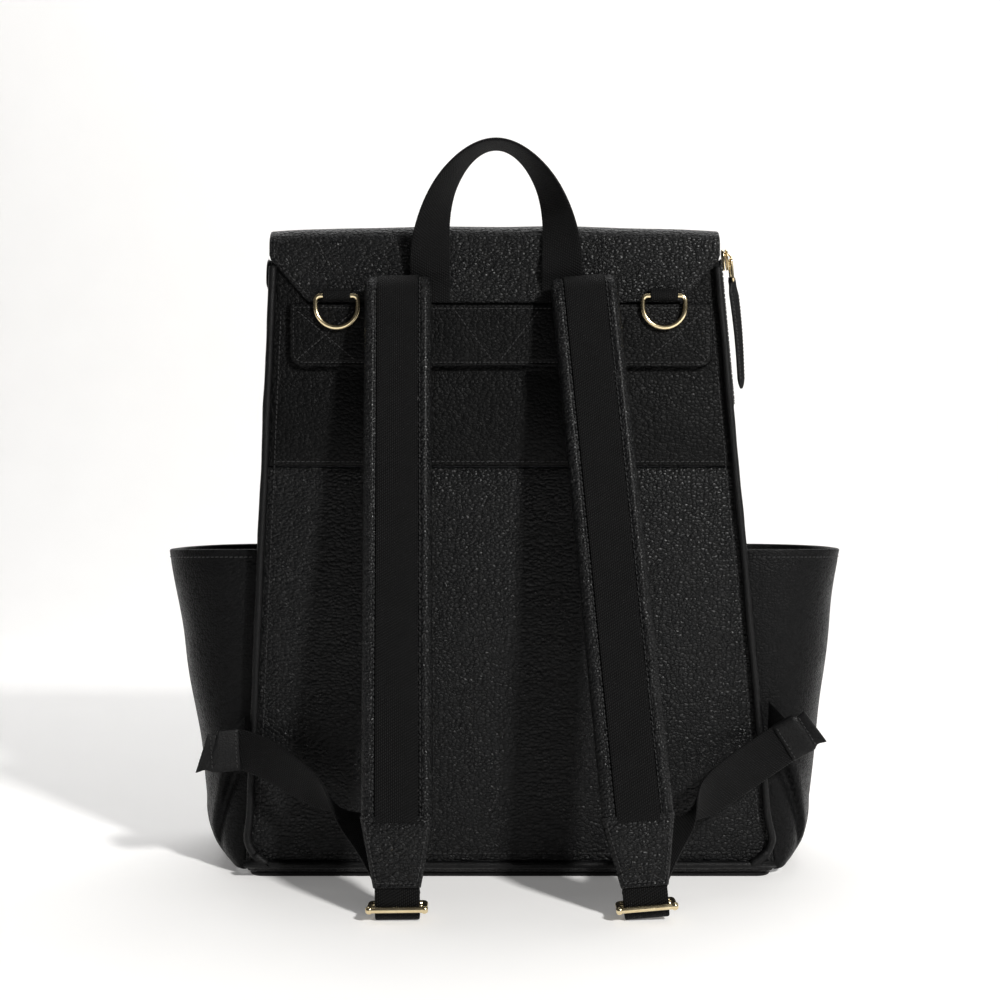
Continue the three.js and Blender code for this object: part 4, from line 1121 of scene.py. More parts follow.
def make_handle():
    pivot, _ = joint("handle_hinge")
    low, high = cad("handle_loop")
    roots = {side: cad(f"handle_root_{name}") for name, side in SIDES.items()}
    centre = (low.x + high.x) / 2
    half = (roots[1][0].x + roots[1][1].x) / 2 - centre
    sewn = roots[1][1].y - WEB_THICK / 2
    rise = high.z - 3.5 - pivot.z
    grip_y = mix(low.y, high.y, 0.5)
    path, across = [], []
    for side in (-1, 1):
        leg = [(centre + side * half, sewn, z) for z in np.linspace(roots[1][0].z, pivot.z - 12, 8)]
        leg += [(centre + side * half, mix(sewn, pivot.y, smooth((z - pivot.z + 12) / 12)), z)
                for z in np.linspace(pivot.z - 10, pivot.z - 1, 5)]
        if side < 0:
            path += leg
            across += [(1, 0, 0)] * len(leg)
            for i in range(1, 60):
                t = 2 * i / 60 - 1
                angle = t * math.pi / 2
                up = max(math.cos(angle), 0) ** 0.82
                spread = math.sin(angle) * (0.86 + 0.14 * math.sin(angle) ** 2)
                place = (centre + spread * half, mix(pivot.y, grip_y, smooth(up * 1.5)), pivot.z + up * rise)
                path.append(place)
                across.append(None)
            first = len(leg)
        else:
            path += leg[::-1]
            across += [(-1, 0, 0)] * len(leg)
    path = np.array(path)
    count = 59
    for k in range(count):
        i = first + k
        t = 2 * (k + 1) / 60 - 1
        turn = math.radians(50 * (1 - t ** 6) + 38 * (1 - t * t) ** 2.2)
        along = path[i + 1] - path[i - 1]
        along[1] = 0
        along = unit(along)
        out = np.array([along[2], 0, -along[0]])
        across[i] = out * math.cos(turn) + np.array([0, math.sin(turn), 0])
    across = np.array([unit(np.array(a, float)) for a in across])
    piece = sweep("handle_webbing", frames_along(path, across), lambda t: flat_profile(WEB_WIDTH, WEB_THICK),
                  webbing)
    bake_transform(piece)
    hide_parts("handle_loop", "handle_root_left", "handle_root_right")


def make_rings():
    for name in SIDES:
        low, high = cad(f"dring_{name}")
        wire = (high.y - low.y) / 2
        bar, _ = joint(f"dring_{name}_hinge")
        half = (high.x - low.x) / 2 - wire
        x, y = (low.x + high.x) / 2, (low.y + high.y) / 2
        arm = (bar.z - low.z - wire) - half
        bend = 3.0
        points = [(x + half - bend * (1 - math.sin(a)), y, bar.z - bend * (1 - math.cos(a)))
                  for a in np.radians(range(0, 91, 15))]
        points += [(x + half * math.cos(a), y, bar.z - arm - half * math.sin(a))
                   for a in np.radians(range(0, 181, 6))]
        points += [(x - half + bend * (1 - math.sin(a)), y, bar.z - bend * (1 - math.cos(a)))
                   for a in np.radians(range(90, -1, -15))]
        points += [(x + (half - bend) * t, y, bar.z) for t in np.linspace(-1, 1, 8)][1:-1]
        frames = ring_frames(points, (0, 1, 0))
        ring = sweep(f"dring_{name}_wire", frames, lambda t: round_profile(wire, 18), gold, closed=True)
        settle(ring, f"dring_{name}", "gold", f"dring_{name}")
        make_ring_loop(name, bar, y, wire)


def ring_frames(points, normal):
    """Frames round a closed wire that lies in one plane."""
    points = np.asarray(points, float)
    normal = unit(np.asarray(normal, float))
    made = []
    for i, at in enumerate(points):
        along = unit(points[(i + 1) % len(points)] - points[i - 1])
        made.append((at, unit(np.cross(normal, along)), normal))
    return made


def make_ring_loop(name, bar, y, wire):
    """A strip of webbing that comes out over the yoke, goes round the ring's bar and back under."""
    low, high = cad(f"dring_tab_{name}")
    width = high.x - low.x
    thick = 1.3
    x = (low.x + high.x) / 2
    r = wire + 0.15 + thick / 2
    path = [(x, high.y - 0.2, bar.z + 4.6), (x, y + 1.0, bar.z + r + 1.6)]
    path += [(x, y - r * math.sin(a) , bar.z + r * math.cos(a)) for a in np.radians(range(0, 181, 15))]
    path += [(x, y + 1.6, bar.z - r + 0.2), (x, high.y - 0.5, bar.z - r + 0.6)]
    path = curve_through(path, 0.7)
    loop = sweep(f"dring_loop_{name}", frames_along(path, (1, 0, 0)),
                 lambda t: flat_profile(width, thick), webbing)
    settle(loop, "bag", "webbing", f"dring_tab_{name}")


# ---- Shoulder straps -------------------------------------------------------------------------------------

STRAP_THICK = 10.0
FOLD_RADIUS = 1.0 + STRAP_THICK / 2
LEAN = math.radians(11.9)
STUB_LOOP = 3.2


class Strap:
    """A strap's own directions: side across it, down its length, and out of the back panel."""

    def __init__(self, name):
        self.name = name
        origin, axis = joint(f"strap_{name}_hinge")
        self.origin = np.array(origin)
        self.side = -np.array(axis)
        self.up = unit(np.cross(self.side, np.array([0.0, 1.0, 0.0])))
        self.back = np.array([0.0, 1.0, 0.0])
        self.width = 41.0
        self.body = f"strap_{name}"
        low, _ = cad(f"strap_stub_{name}")
        self.lowest = (self.origin[2] - low.z - abs(self.side[2]) * 12.5) / self.up[2] - 0.05
        self.tip_end = self.lowest - 18.5
        self.tip_start = self.tip_end - 37.0

    def place(self, x, y, z):
        return self.origin + self.side * x + self.back * y + self.up * z

    def fold(self, angle, offset=0.0):
        """A place on the strap's middle line round its fold: 180 at the back panel, 90 on top, 0 in front."""
        radius = FOLD_RADIUS + offset
        return self.place(0, -radius * math.cos(angle), radius * math.sin(angle))

    def hang(self, drop, offset=0.0, x=0.0):
        """A place on the straight part of the middle line, at the drop asked for below the fold's axis."""
        radius = FOLD_RADIUS + offset
        y, z = -radius * math.cos(LEAN), radius * math.sin(LEAN)
        run = (drop + z) / math.cos(LEAN)
        return self.place(x, y - run * math.sin(LEAN), z - run * math.cos(LEAN))

    def line(self, start, drop, offset=0.0, step=5.0):
        """The middle line from an angle of the fold, in degrees, down to a drop."""
        angles = np.radians(np.arange(start, math.degrees(LEAN), -9.0))
        first = [self.fold(a, offset) for a in angles]
        return np.array(first + [self.hang(d, offset) for d in np.arange(0.5, drop, step)]
                        + [self.hang(drop, offset)])

    def blend(self, piece):
        """Bakes the piece's place into its mesh."""
        top = self.fold(math.radians(90))
        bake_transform(piece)


def pad_profile(width, thickness):
    """Half-round rolls beside a sunken middle, where the webbing is sewn on, and a plain soft back."""
    half = width / 2
    front = []
    for a in np.linspace(-half + 0.2, half - 0.2, 33):
        beside = abs(a)
        roll = math.sqrt(max(1 - ((beside - 15.6) / 5.0) ** 2, 0)) if beside > 15.6 else 1.0
        sunk = 1.15 * (1 - smooth((beside - 12.2) / 2.4))
        groove = 0.9 * math.exp(-((beside - 13.1) / 0.75) ** 2)
        front.append((a, (thickness / 2 + 0.35) * roll - sunk - groove))
    back = []
    for a in np.linspace(half - 0.2, -half + 0.2, 21):
        beside = abs(a)
        roll = math.sqrt(max(1 - ((beside - 14.5) / 6.2) ** 2, 0)) if beside > 14.5 else 1.0
        back.append((a, -thickness / 2 * roll))
    return front + back


def make_padded_strap(strap):
    name = strap.name
    path = strap.line(180, strap.tip_start + 1.5)
    frames = frames_along(path, strap.side)
    if np.dot(frames[-1][2], strap.back) > 0:
        frames = [(at, -side, -normal) for at, side, normal in frames]
    length = len(frames)

    def profile(t):
        i = int(round(t * (length - 1)))
        girth = 1 + 0.02 * noise.noise(Vector((i * 0.21, strap.origin[0], 0)))
        shoulder = 1 - 0.035 * math.exp(-((t - 0.05) / 0.03) ** 2)
        return [(a * shoulder, b * girth) for a, b in pad_profile(strap.width, STRAP_THICK)]

    pad = sweep(f"strap_pad_{name}", frames, profile, leather)
    strap.blend(pad)
    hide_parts(f"strap_shell_{name}", f"strap_root_{name}", f"strap_foam_{name}")

    proud = STRAP_THICK / 2 - 0.5 + WEB_THICK / 2
    band_path = strap.line(165, strap.tip_start + 1, proud)
    band_frames = frames_along(band_path, strap.side)
    band = sweep(f"strap_band_{name}_webbing", band_frames, lambda t: flat_profile(24.6, 1.3), webbing)
    strap.blend(band)
    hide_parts(f"strap_band_{name}")

    rows = []
    for x in (-13.3, 13.3):
        middle = strap.line(150, strap.tip_start - 1, STRAP_THICK / 2 - 0.65)
        rows.append([at + strap.side * x for at in middle])
    rows_out = -strap.back * math.cos(LEAN)
    piece = stitches(
        f"stitches_strap_{name}", rows, lambda at: fold_out(strap, at, rows_out), None, rise=0.25)
    strap.blend(piece)


def fold_out(strap, at, plain):
    """Out of the strap's front face, turning round the fold at its top."""
    up = float(np.dot(at - strap.origin, strap.up))
    if up < 1:
        return plain
    back = float(np.dot(at - strap.origin, strap.back))
    return strap.up * up + strap.back * back


def make_strap_tip(strap):
    name = strap.name
    start, end = strap.tip_start - 1.5, strap.tip_end
    along = unit(strap.hang(end) - strap.hang(start))
    out = unit(np.cross(along, strap.side))
    if np.dot(out, strap.back) > 0:
        out = -out
    length = float(np.linalg.norm(strap.hang(end) - strap.hang(start)))

    def half(v):
        return mix(21.3, 13.4, v)

    def thick(v):
        return mix(STRAP_THICK + 1.2, 5.2, smooth(v))

    rows = []
    for v in spaced(0, length, 1.6, 1.2):
        v = float(v) / length
        centre = strap.hang(start) + along * (v * length)
        section = []
        h, t = half(v), thick(v)
        for a in np.linspace(-1, 1, 37):
            beside = abs(a)
            roll = math.sqrt(max(1 - ((beside - 0.8) / 0.2) ** 2, 0)) if beside > 0.8 else 1.0
            border = min(h * (1 - beside), v * length, (1 - v) * length)
            groove = 0.55 * math.exp(-((border - 2.6) / 0.7) ** 2)
            swell = 0.5 * pinch((a + 1) / 2, 0.5) * pinch(v, 0.5)
            section.append((a * h, t / 2 * roll + swell - groove))
        for a in np.linspace(1, -1, 17):
            beside = abs(a)
            roll = math.sqrt(max(1 - ((beside - 0.8) / 0.2) ** 2, 0)) if beside > 0.8 else 1.0
            section.append((a * h, -t / 2 * roll))
        rows.append((centre, section))
    frames = [(centre, strap.side, out) for centre, _ in rows]
    sections = [section for _, section in rows]
    tip = sweep(f"strap_tip_{name}_leather", frames,
                lambda t: sections[int(round(t * (len(sections) - 1)))], leather)
    settle(tip, strap.body, "leather", f"strap_tip_{name}")

    def on_face(x, v):
        return strap.hang(start) + along * (v * length) + strap.side * x + out * (thick(v) / 2 - 0.05)

    inset = 2.6
    high, low = inset / length, 1 - inset / length
    line = [on_face(-(half(v) - inset), v) for v in np.linspace(high, low, 14)]
    line += [on_face(x, low) for x in np.linspace(-(half(low) - inset), half(low) - inset, 10)][1:-1]
    line += [on_face(half(v) - inset, v) for v in np.linspace(low, high, 14)]
    line += [on_face(x, high) for x in np.linspace(half(high) - inset, -(half(high) - inset), 12)][1:]
    stitches(f"stitches_tip_{name}", [line], out, strap.body, pitch=2.6, rise=0.15)


def make_strap_end(strap):
    """The webbing that leaves the tip, runs over the slider's middle bar and turns back up behind it."""
    name = strap.name
    r = STUB_LOOP
    thick = WEB_THICK
    start = strap.hang(strap.tip_end - 6)
    leave = strap.hang(strap.tip_end + 0.6)
    y = float(np.dot(leave - strap.origin, strap.back))
    loop_z = -strap.lowest + r + thick / 2
    middle_y = y + r
    chosen = [start, leave]
    chosen += [strap.place(0, y - 0.9, mix(-strap.tip_end, loop_z, 0.6))]
    chosen += [strap.place(0, middle_y + r * 1.05 * math.cos(a), loop_z + r * math.sin(a))
               for a in np.radians(range(180, 361, 30))]
    chosen += [strap.place(0, middle_y + r, -strap.tip_end - 3)]
    path = curve_through(chosen, 1.0)
    stub = sweep(f"strap_stub_{name}_webbing", frames_along(path, strap.side),
                 lambda t: flat_profile(WEB_WIDTH, thick), webbing)
    settle(stub, strap.body, "webbing", f"strap_stub_{name}")

    low, high = cad(f"slider_{name}")
    centre = np.array((low + high) / 2)
    bar = 1.75
    half_x = 15.4
    half_y = (high.y - low.y) / 2 - 1.6
    side = strap.side
    points = []
    for sx, sy, start_angle in ((1, 1, 0), (-1, 1, 90), (-1, -1, 180), (1, -1, 270)):
        for turn in range(0, 91, 15):
            angle = math.radians(start_angle + turn)
            points.append(centre + side * (sx * (half_x - 1.6) + 1.6 * math.cos(angle))
                          + strap.back * (sy * (half_y - 1.6) + 1.6 * math.sin(angle)))
        following = {0: (-1, 0), 90: (0, -1), 180: (1, 0), 270: (0, 1)}[start_angle]
        span = 2 * ((half_x - 1.6) if following[0] else (half_y - 1.6))
        corner = points[-1]
        direction = side * following[0] + strap.back * following[1]
        for t in np.linspace(0, 1, 8)[1:-1]:
            points.append(corner + direction * span * t)
    frames = ring_frames(points, strap.up)
    loop = sweep(f"slider_{name}_frame", frames, lambda t: round_profile(bar, 16), gold, closed=True)
    settle(loop, f"slider_{name}", "gold", f"slider_{name}")
    across = [centre + side * x for x in np.linspace(-half_x, half_x, 12)]
    middle = sweep(
        f"slider_{name}_bar", frames_along(across, (0, 0, 1)), lambda t: round_profile(1.6, 16), gold)
    settle(middle, f"slider_{name}", "gold")
    for end, place in (("a", -1), ("b", 1)):
        knob = [centre + side * place * (half_x + x) - strap.back * half_y for x in np.linspace(-1.9, 2.0, 9)]
        cap = sweep(
            f"slider_{name}_knob_{end}", frames_along(knob, (0, 0, 1)),
            lambda t: round_profile(2.35 * max(math.sin(math.pi * mix(0.08, 0.92, t)), 0.1) ** 0.4, 16), gold)
        settle(cap, f"slider_{name}", "gold")



# ---- Side anchors and the adjusting webbing --------------------------------------------------------------

ANCHORS = {
    "left": {"height": 82.5, "reach": 3.5, "tilt": math.radians(-3.5), "rise": 18, "skew": 0.38},
    "right": {"height": 86.0, "reach": 9.0, "tilt": math.radians(32), "rise": 24, "skew": 0.08},
}
# The free webbing's route from slider to tab, as listed points: share of the way across, height, and distance
# in front of the back panel.
ADJUSTER_ROUTE = [(0.05, 26, 78), (0.19, 41, 60), (0.4, 55, 46), (0.61, 67, 34), (0.84, 78, 21)]


def anchor_frame(name):
    side, facts = SIDES[name], ANCHORS[name]
    tilt = facts["tilt"]
    along = unit(np.array([side * math.cos(tilt), -0.22, math.sin(tilt)]))
    across = np.array([-side * math.sin(tilt), 0, math.cos(tilt)])
    mouth = np.array([edge_x(side, facts["height"]) + side * facts["reach"], BACK - 14.5, facts["height"]])
    return mouth, along, across


def make_anchor(name):
    """Leather wrapped round the webbing's end, its sewn pleat, and the neck to the side seam."""
    side, facts = SIDES[name], ANCHORS[name]
    mouth, along, across = anchor_frame(name)
    out = unit(np.cross(along, across)) * (1 if side > 0 else -1)
    if out[1] > 0:
        out = -out
    stations = []
    for s in np.concatenate([[0, 0.3, 0.9], np.linspace(2, 15, 9), np.linspace(16, 22.4, 8), [22.8, 23.0]]):
        shut = smooth((s - 14) / 3.5)
        half = mix(12.9, 10.6, shut) + 0.9 * smooth((s - 18) / 5)
        rounded = 0.7 + 0.3 * pinch(clamp(s / 2.0) / 2, 0.5)
        thick = mix(4.6, 2.1, shut) * rounded * (1 - 0.5 * smooth((s - 22) / 1.5))
        curl = 1.6 * smooth((s - 12) / 11) ** 2
        stations.append((mouth + along * s - out * 0.2 + out * curl, half, thick, shut))
    skew = facts["skew"]
    frames = [(at, across - along * skew * smooth((i - 8) / 6), out) for i, (at, *_) in enumerate(stations)]
    sections = []
    for _, half, thick, shut in stations:
        section = []
        for k in range(32):
            angle = 2 * math.pi * k / 32
            a = math.copysign(abs(math.cos(angle)) ** 0.45, math.cos(angle)) * half
            b = math.copysign(abs(math.sin(angle)) ** 0.7, math.sin(angle)) * thick / 2
            section.append((a, b + 0.35 * math.sin(a * 0.42 + facts["height"]) * (1 - shut)))
        sections.append(section)
    tab = sweep(f"anchor_tab_{name}_leather", frames,
                lambda t: sections[int(round(t * (len(sections) - 1)))], trim_leather)
    settle(tab, "bag", "leather", f"anchor_tab_{name}")
    face = [mouth + along * 17.2 + across * a + out * 1.9 for a in np.linspace(-10, 10, 12)]
    edge = [mouth + along * 2.2 + across * a + out * 2.15 for a in np.linspace(-11, 11, 12)]
    stitches(f"stitches_anchor_{name}", [face, edge], out, "bag", pitch=2.6)

    seam = np.array([edge_x(side, facts["height"]) + side * 2.2, BACK - 1.0, facts["height"] + facts["rise"]])
    low = np.array([edge_x(side, facts["height"]) + side * 1.2, BACK - 1.0, facts["height"] - 9])
    grid = []
    for v in np.linspace(0, 1, 16):
        start, end = seam + (low - seam) * v, mouth + along * mix(9.5, 4.0, v) + across * mix(9.5, -8.5, v)
        row = []
        for u in np.linspace(0, 1, 18):
            at = start + (end - start) * u
            belly = 2.2 * math.sin(math.pi * u) * math.cos(2.4 * v)
            row.append(at + np.array([0, -belly - 0.8 * u, 0]))
        grid.append(row)
    neck = sheet(f"anchor_neck_{name}_leather", grid, 1.8, trim_leather, (0, -1, 0))
    settle(neck, "bag", "leather")


def make_adjuster(strap):
    name = strap.name
    mouth, along, across = anchor_frame(name)
    landing = mouth + along * 7.0
    y = float(np.dot(strap.hang(strap.tip_end + 0.6) - strap.origin, strap.back)) + STUB_LOOP
    start = strap.place(0, y + STUB_LOOP, -strap.tip_end - 3.0)
    points = [start - strap.up * 2.0, start]
    points += [np.array([mix(start[0], mouth[0], share), BACK - stand_off, height])
               for share, height, stand_off in ADJUSTER_ROUTE]
    points += [mouth, landing]
    path = curve_through(points, 2.5)
    side = SIDES[name]
    turned = across * side
    count = len(path)
    directions = []
    for i in range(count):
        t = smooth((i / (count - 1) - 0.1) / 0.8)
        directions.append(unit(strap.side * (1 - t) + turned * t))
    web = sweep(f"adjuster_{name}_webbing", frames_along(path, np.array(directions)),
                lambda t: flat_profile(WEB_WIDTH, WEB_THICK, 0.5 * math.sin(math.pi * t)), webbing)
    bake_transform(web)
    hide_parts(f"adjuster_{name}")


# ---- Zips ------------------------------------------------------------------------------------------------

def coil(name, path, out, radius, pitch, body="bag"):
    """The zip's nylon coil, as one spring-shaped thread along a path."""
    points = []
    for at, along, _ in walk_path(path, pitch / 10):
        turn = len(points) * 2 * math.pi / 10
        normal = unit(np.asarray(out, float))
        side = unit(np.cross(normal, along))
        points.append(at + side * radius * 1.5 * math.cos(turn) + normal * radius * 0.6 * math.sin(turn))
    piece = sweep(name, frames_along(points, out), lambda t: round_profile(0.34, 5), nylon)
    return settle(piece, body, "zip_tape")


def make_mouth_zips():
    for name, (low, high) in TAPES.items():
        y = (low.y + high.y) / 2
        out = -1 if name == "rear" else 1
        grid = []
        for z in spaced(RIM - 5, high.z - 1.8, 1.6, 0.4):
            grid.append([
                (float(x), y + 0.5 * ripple((x, z, y), 28, 1.0) - out * 0.05 * (z - low.z),
                 float(z) if z < RIM + 1 else float(z) + 0.4 * ripple((x, y, 3), 40, 1.0))
                for x in spaced(low.x, high.x, 4.0, 0.4)
            ])
        tape = sheet(f"zip_tape_{name}_cloth", grid, 0.9, zip_cloth, (0, out, 0))
        settle(tape, "bag", "zip_tape", f"zip_tape_{name}")
        line = [(x, y - out * 0.5, high.z - 1.7 + 0.4 * ripple((x, y, 3), 40, 1.0))
                for x in np.linspace(low.x + 2, high.x - 2, 160)]
        coil(f"zip_coil_{name}", line, (0, -out, 0), 0.85, 1.5)


def make_side_zip():
    """The side zip's two tapes and coil lie on the gusset and follow its slope."""
    low, high = cad("zip_side_run")
    y = (low.y + high.y) / 2
    half = (high.y - low.y) / 2

    def surface(z, lift):
        return edge_x(1, z) + 0.3 + lift

    grid = []
    for z in outline_rows(low.z, high.z, half, 0, 2.4, 0.5):
        inset = corner_inset(z - low.z, half * 0.98)
        grid.append([(surface(z, 1.1) + 0.25 * ripple((9, yy * 3, z), 9, 1.0), float(yy), z)
                     for yy in spaced(y - half + inset, y + half - inset, 1, 0.4, 9)])
    tape = sheet("zip_side_tape_cloth", grid, 1.0, zip_cloth, (1, 0, 0))
    settle(tape, "bag", "zip_tape", "zip_side_run")
    line = [(surface(z, 1.7), y, z) for z in np.linspace(low.z + 3.5, high.z - 7, 120)]
    coil("zip_side_coil", line, (1, 0, 0), 0.95, 1.5)
    stitch = []
    for place in (-1, 1):
        heights = np.linspace(low.z + 6, high.z, 50)
        stitch.append([(surface(z, 1.25), y + place * (half - 1.3), z) for z in heights])
    stitches("stitches_side_zip", stitch, (1, 0, 0), "bag", pitch=2.6)


def make_zip_slider():
    """The slider's shell with its flanges and bridge, the link, and the leather puller."""
    low, high = cad("zip_slider")
    pivot, _ = joint("zip_link_hinge")
    y = (low.y + high.y) / 2
    slope = unit(np.array([edge_x(1, 0) - edge_x(1, RIM), 0, -RIM]))
    out = unit(np.array([-slope[2], 0, slope[0]]))
    across = np.array([0, 1.0, 0])
    centre = np.array([low.x, y, (low.z + high.z) / 2])
    centre[0] = edge_x(1, centre[2]) + 3.4
    plates = []
    for lift, half_max in ((0.0, 4.6), (2.3, 4.75)):
        stations, widths = [], []
        for s in np.linspace(-6.6, 6.6, 19):
            nose = max(1 - (abs(s) / 6.6) ** 4, 0.02) ** 0.5
            waist = 1 - 0.16 * smooth((s + 1) / 6)
            stations.append((centre + slope * s + out * lift, across, out))
            widths.append(half_max * nose * waist)
        plates.append((stations, widths))
    for k, (stations, widths) in enumerate(plates):
        shell = sweep(
            f"zip_slider_plate_{k + 1}", stations,
            lambda t, widths=widths: [
                (math.copysign(abs(math.cos(a)) ** 0.5, math.cos(a)) * widths[int(round(t * 18))],
                 math.copysign(abs(math.sin(a)) ** 0.7, math.sin(a)) * 0.65)
                for a in np.arange(20) * math.pi / 10], gold)
        settle(shell, "zip_slider", "gold", *(["zip_slider"] if k else []))
    post = [centre + out * x - slope * 3.5 for x in np.linspace(-0.2, 2.6, 6)]
    settle(sweep("zip_slider_post", frames_along(post, across), lambda t: round_profile(1.5, 12), gold),
           "zip_slider", "gold")
    turns = np.radians(range(0, 181, 12))
    arch = [centre + slope * 4.2 * math.cos(a) + out * (2.4 + 2.9 * math.sin(a)) for a in turns]
    bridge = sweep("zip_slider_bridge", frames_along(arch, across), lambda t: flat_profile(2.8, 1.0), gold)
    settle(bridge, "zip_slider", "gold")

    low, high = cad("zip_link")
    wire = 0.95
    top = np.array([pivot.x, y, pivot.z])
    half_y = (high.y - low.y) / 2 - wire
    length = (top[2] - low.z) / abs(slope[2]) - 0.4
    corner = 1.5
    ring = []
    for sy, sd, start_angle in ((1, 0, -90), (1, 1, 0), (-1, 1, 90), (-1, 0, 180)):
        for turn in range(0, 91, 15):
            a = math.radians(start_angle + turn)
            d = (length - corner if sd else corner) + corner * math.sin(a)
            w = sy * (half_y - corner) + corner * math.cos(a)
            ring.append(top + across * w + slope * d)
    link = sweep(
        "zip_link_wire", ring_frames(ring, out), lambda t: round_profile(wire, 12), gold, closed=True)
    settle(link, "zip_link", "gold", "zip_link")
    make_puller(top + slope * length, slope, out)


def make_puller(eye, slope, out):
    low, _ = cad("zip_pull")
    turned_out = math.radians(48)
    across = unit(np.array([math.sin(turned_out), math.cos(turned_out), 0]))
    face = unit(np.cross(slope, across))
    if face[1] > 0:
        face = -face
    length = (eye[2] - low.z) / abs(slope[2]) - 0.3
    stations, sizes = [], []
    eye_end, long_part = [-2.2, -1.9, -1.2], np.linspace(0, length - 6, 40)
    round_end = np.linspace(length - 5.4, length, 8)
    for s in np.concatenate([eye_end, long_part, round_end]):
        share = clamp(s / length)
        half = mix(2.6, 4.3, smooth(s / 9)) if s < 9 else mix(4.3, 2.7, (s - 9) / (length - 9))
        half *= math.sqrt(max(1 - clamp((s - length + 7) / 7) ** 2, 0.01))
        thick = mix(3.9, 2.6, smooth((s + 1) / 6)) * (1 - 0.45 * smooth((s - length + 6) / 6))
        if s < -1:
            thick *= 0.75
        bow = 1.1 * math.sin(share * math.pi * 1.1)
        stations.append((eye + slope * s + face * bow * 0.7 + across * bow * 0.35, across, face))
        sizes.append((half, thick))
    count = len(sizes) - 1

    def profile(t):
        half, thick = sizes[int(round(t * count))]
        section = []
        for a in np.arange(28) * math.pi / 14:
            w = math.copysign(abs(math.cos(a)) ** 0.6, math.cos(a)) * half
            b = math.copysign(abs(math.sin(a)) ** 0.75, math.sin(a)) * thick / 2
            section.append((w, b))
        return section

    pull = sweep("zip_pull_leather", stations, profile, trim_leather)
    settle(pull, "zip_pull", "trim_leather", "zip_pull")
    rows = []
    for place in (-1, 1):
        rows.append([at + across * place * max(half - 1.1, 0.1) + face * (thick / 2 - 0.12)
                     for (at, _, _), (half, thick) in list(zip(stations, sizes))[8:-7]])
    stitches("stitches_zip_pull", rows, face, "zip_pull", pitch=2.3, rise=0.05)


def make_zip_end_tab():
    low, high = cad("zip_end_tab")
    centre = (low + high) / 2
    half_y, half_z = (high.y - low.y) / 2, (high.z - low.z) / 2
    grid = []
    for z in outline_rows(low.z, high.z, half_y, half_y, 1.0, 0.6):
        inset = max(corner_inset(z - low.z, half_y * 0.99), corner_inset(high.z - z, half_y * 0.99))
        inset = min(inset, half_y - 0.5)
        grid.append([
            (edge_x(-1, z) - 2.2
             - 0.9 * pinch((y - low.y) / (2 * half_y), 0.5) * pinch((z - low.z) / (2 * half_z), 0.5),
             float(y), z) for y in spaced(centre.y - half_y + inset, centre.y + half_y - inset, 1, 0.6, 12)
        ])
    tab = sheet("zip_end_tab_leather", grid, 2.0, trim_leather, (-1, 0, 0))
    settle(tab, "bag", "trim_leather", "zip_end_tab")


# ---- Inside ----------------------------------------------------------------------------------------------

def make_lining():
    """The cloth lining hangs inside the panels, with soft folds."""
    low, high = cad("lining")
    inner = WALL + 1.2
    rows = []
    for z in spaced(low.z + 1.0, high.z, 9.0):
        ring = []
        left, right = edge_x(-1, z) + inner, edge_x(1, z) - inner
        back, front = low.y + 1.0, front_y(z) - inner
        corners = [(left, back), (right, back), (right, front), (left, front)]
        for (x0, y0), (x1, y1) in zip(corners, corners[1:] + corners[:1]):
            for t in np.linspace(0, 1, 30, endpoint=False):
                x, y = mix(x0, x1, t), mix(y0, y1, t)
                give = pinch(t, 0.6) * (0.7 + ripple((x, y, z), 38, 1.6))
                give *= pinch((z - low.z) / (high.z - low.z), 0.4)
                inward = unit(np.array([(left + right) / 2 - x, (back + front) / 2 - y, 0]))
                ring.append(np.array([x, y, z]) + inward * max(give, 0))
        rows.append(ring)
    count = len(rows[0])
    thickness = 0.9
    points = [p for ring in rows for p in ring]
    for ring in rows:
        middle = np.mean(ring, axis=0)
        points += [p + unit((middle - p) * np.array([1, 1, 0])) * thickness for p in ring]
    half = len(rows) * count
    faces = []
    for r in range(len(rows) - 1):
        for p in range(count):
            q = (p + 1) % count
            a, b, c, d = r * count + p, r * count + q, (r + 1) * count + q, (r + 1) * count + p
            faces.append((a, b, c, d))
            faces.append((half + d, half + c, half + b, half + a))
    top = (len(rows) - 1) * count
    for p in range(count):
        q = (p + 1) % count
        faces.append((top + p, top + q, half + top + q, half + top + p))
    faces.append(tuple(range(count - 1, -1, -1)))
    faces.append(tuple(half + p for p in range(count)))
    settle(make_mesh("lining_cloth_shell", points, faces, lining), "bag", "lining", "lining")


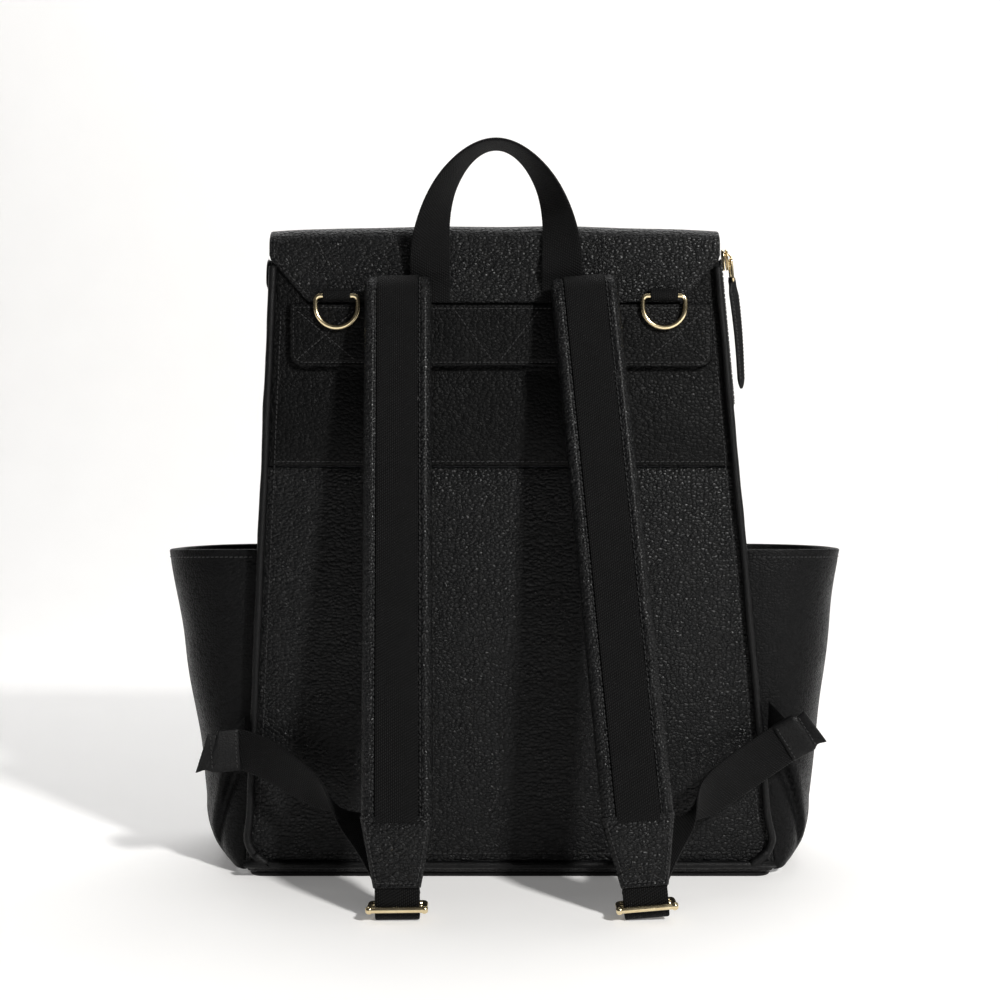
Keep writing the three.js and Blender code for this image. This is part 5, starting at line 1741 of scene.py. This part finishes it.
def make_inner_pockets():
    for name, out in (("back", 1), ("front", -1)):
        node = f"inner_pocket_{name}"
        low, high = cad(node)
        grid = []
        for z in spaced(low.z, high.z, 5.0, 0.6):
            z = float(z)
            share = (z - low.z) / (high.z - low.z)
            shift = (RIM_EDGE[1] + RIM_EDGE[-1]) / 2 * z / RIM
            row = []
            for x in np.linspace(-97, 97, 60):
                gather = 3.0 * pinch((x + 97) / 194, 0.6) * smooth(share * 1.6 - 0.4)
                pleat = 0.8 * math.sin(x / 7.5) * smooth(share * 2 - 1)
                y = high.y if out > 0 else mix(high.y - 1.5, low.y, share)
                row.append((shift + x, y + out * (gather + pleat), z))
            grid.append(row)
        pocket = sheet(f"{node}_cloth", grid, 1.1, lining, (0, out, 0))
        settle(pocket, "bag", "lining", node)
        hem = [[(p[0], p[1] + out * 0.1, p[2] - 7.0) for p in grid[-1]]]
        stitches(f"stitches_{node}", hem, (0, out, 0), "bag")


def make_flap_linings():
    """The flap's cloth underside, a little inside its edges."""
    inset = 6.0
    depth = FLAP_WALL + 0.5
    total = float(FLAP_RUN[-1])
    fold, _ = joint("flap_fold")
    stretches = {
        "top": (run_at(FLAP_CROWN - 3.2, False), run_at(fold.z + 4, True), "flap", "flap_lining_top"),
        "front": (run_at(fold.z - 9, True), total - inset, "flap_front", "flap_lining_front"),
    }
    for name, (start, end, body, node) in stretches.items():
        grid = []
        for s in spaced(start, end, 5.0, 0.5):
            s = float(s)
            along = unit(flap_face(FLAP_MIDDLE, min(s + 1, total)) - flap_face(FLAP_MIDDLE, s - 1))
            half = min(flap_half(s), FLAP_HALF) - inset
            row = []
            for x in spaced(FLAP_MIDDLE - half, FLAP_MIDDLE + half, 4, 0.5, 60):
                row.append(flap_face(float(x), s) + under_of(along) * depth)
            grid.append(row)
        cloth = sheet(f"flap_lining_{name}_cloth", grid, 0.8, lining, under_of(along))
        settle(cloth, body, "lining", node)


def under_of(along):
    """The direction under the flap, from its own direction of travel in y and z."""
    return np.array([0, along[2], -along[1]])


def dress_cad_nodes():
    """The model's own nodes that stay in view get their materials."""
    finishes = {
        "back_foam": foam, "base_board": board,
        "snap_flap_left": steel, "snap_flap_right": steel, "snap_body_left": steel, "snap_body_right": steel,
    }
    for node, material in finishes.items():
        piece = frame["nodes"][node]
        for place in piece.material_slots:
            place.material = material



make_camera()
make_stage()
make_light()
make_body()
make_base()
make_all_piping()
make_body_seams()
make_yoke()
make_side_pockets()
make_front_pocket()
make_flap()
make_handle()
make_rings()
for strap_name in SIDES:
    one_strap = Strap(strap_name)
    make_padded_strap(one_strap)
    make_strap_tip(one_strap)
    make_strap_end(one_strap)
    make_adjuster(one_strap)
    make_anchor(strap_name)
make_mouth_zips()
make_side_zip()
make_zip_slider()
make_zip_end_tab()
make_lining()
make_inner_pockets()
make_flap_linings()
dress_cad_nodes()
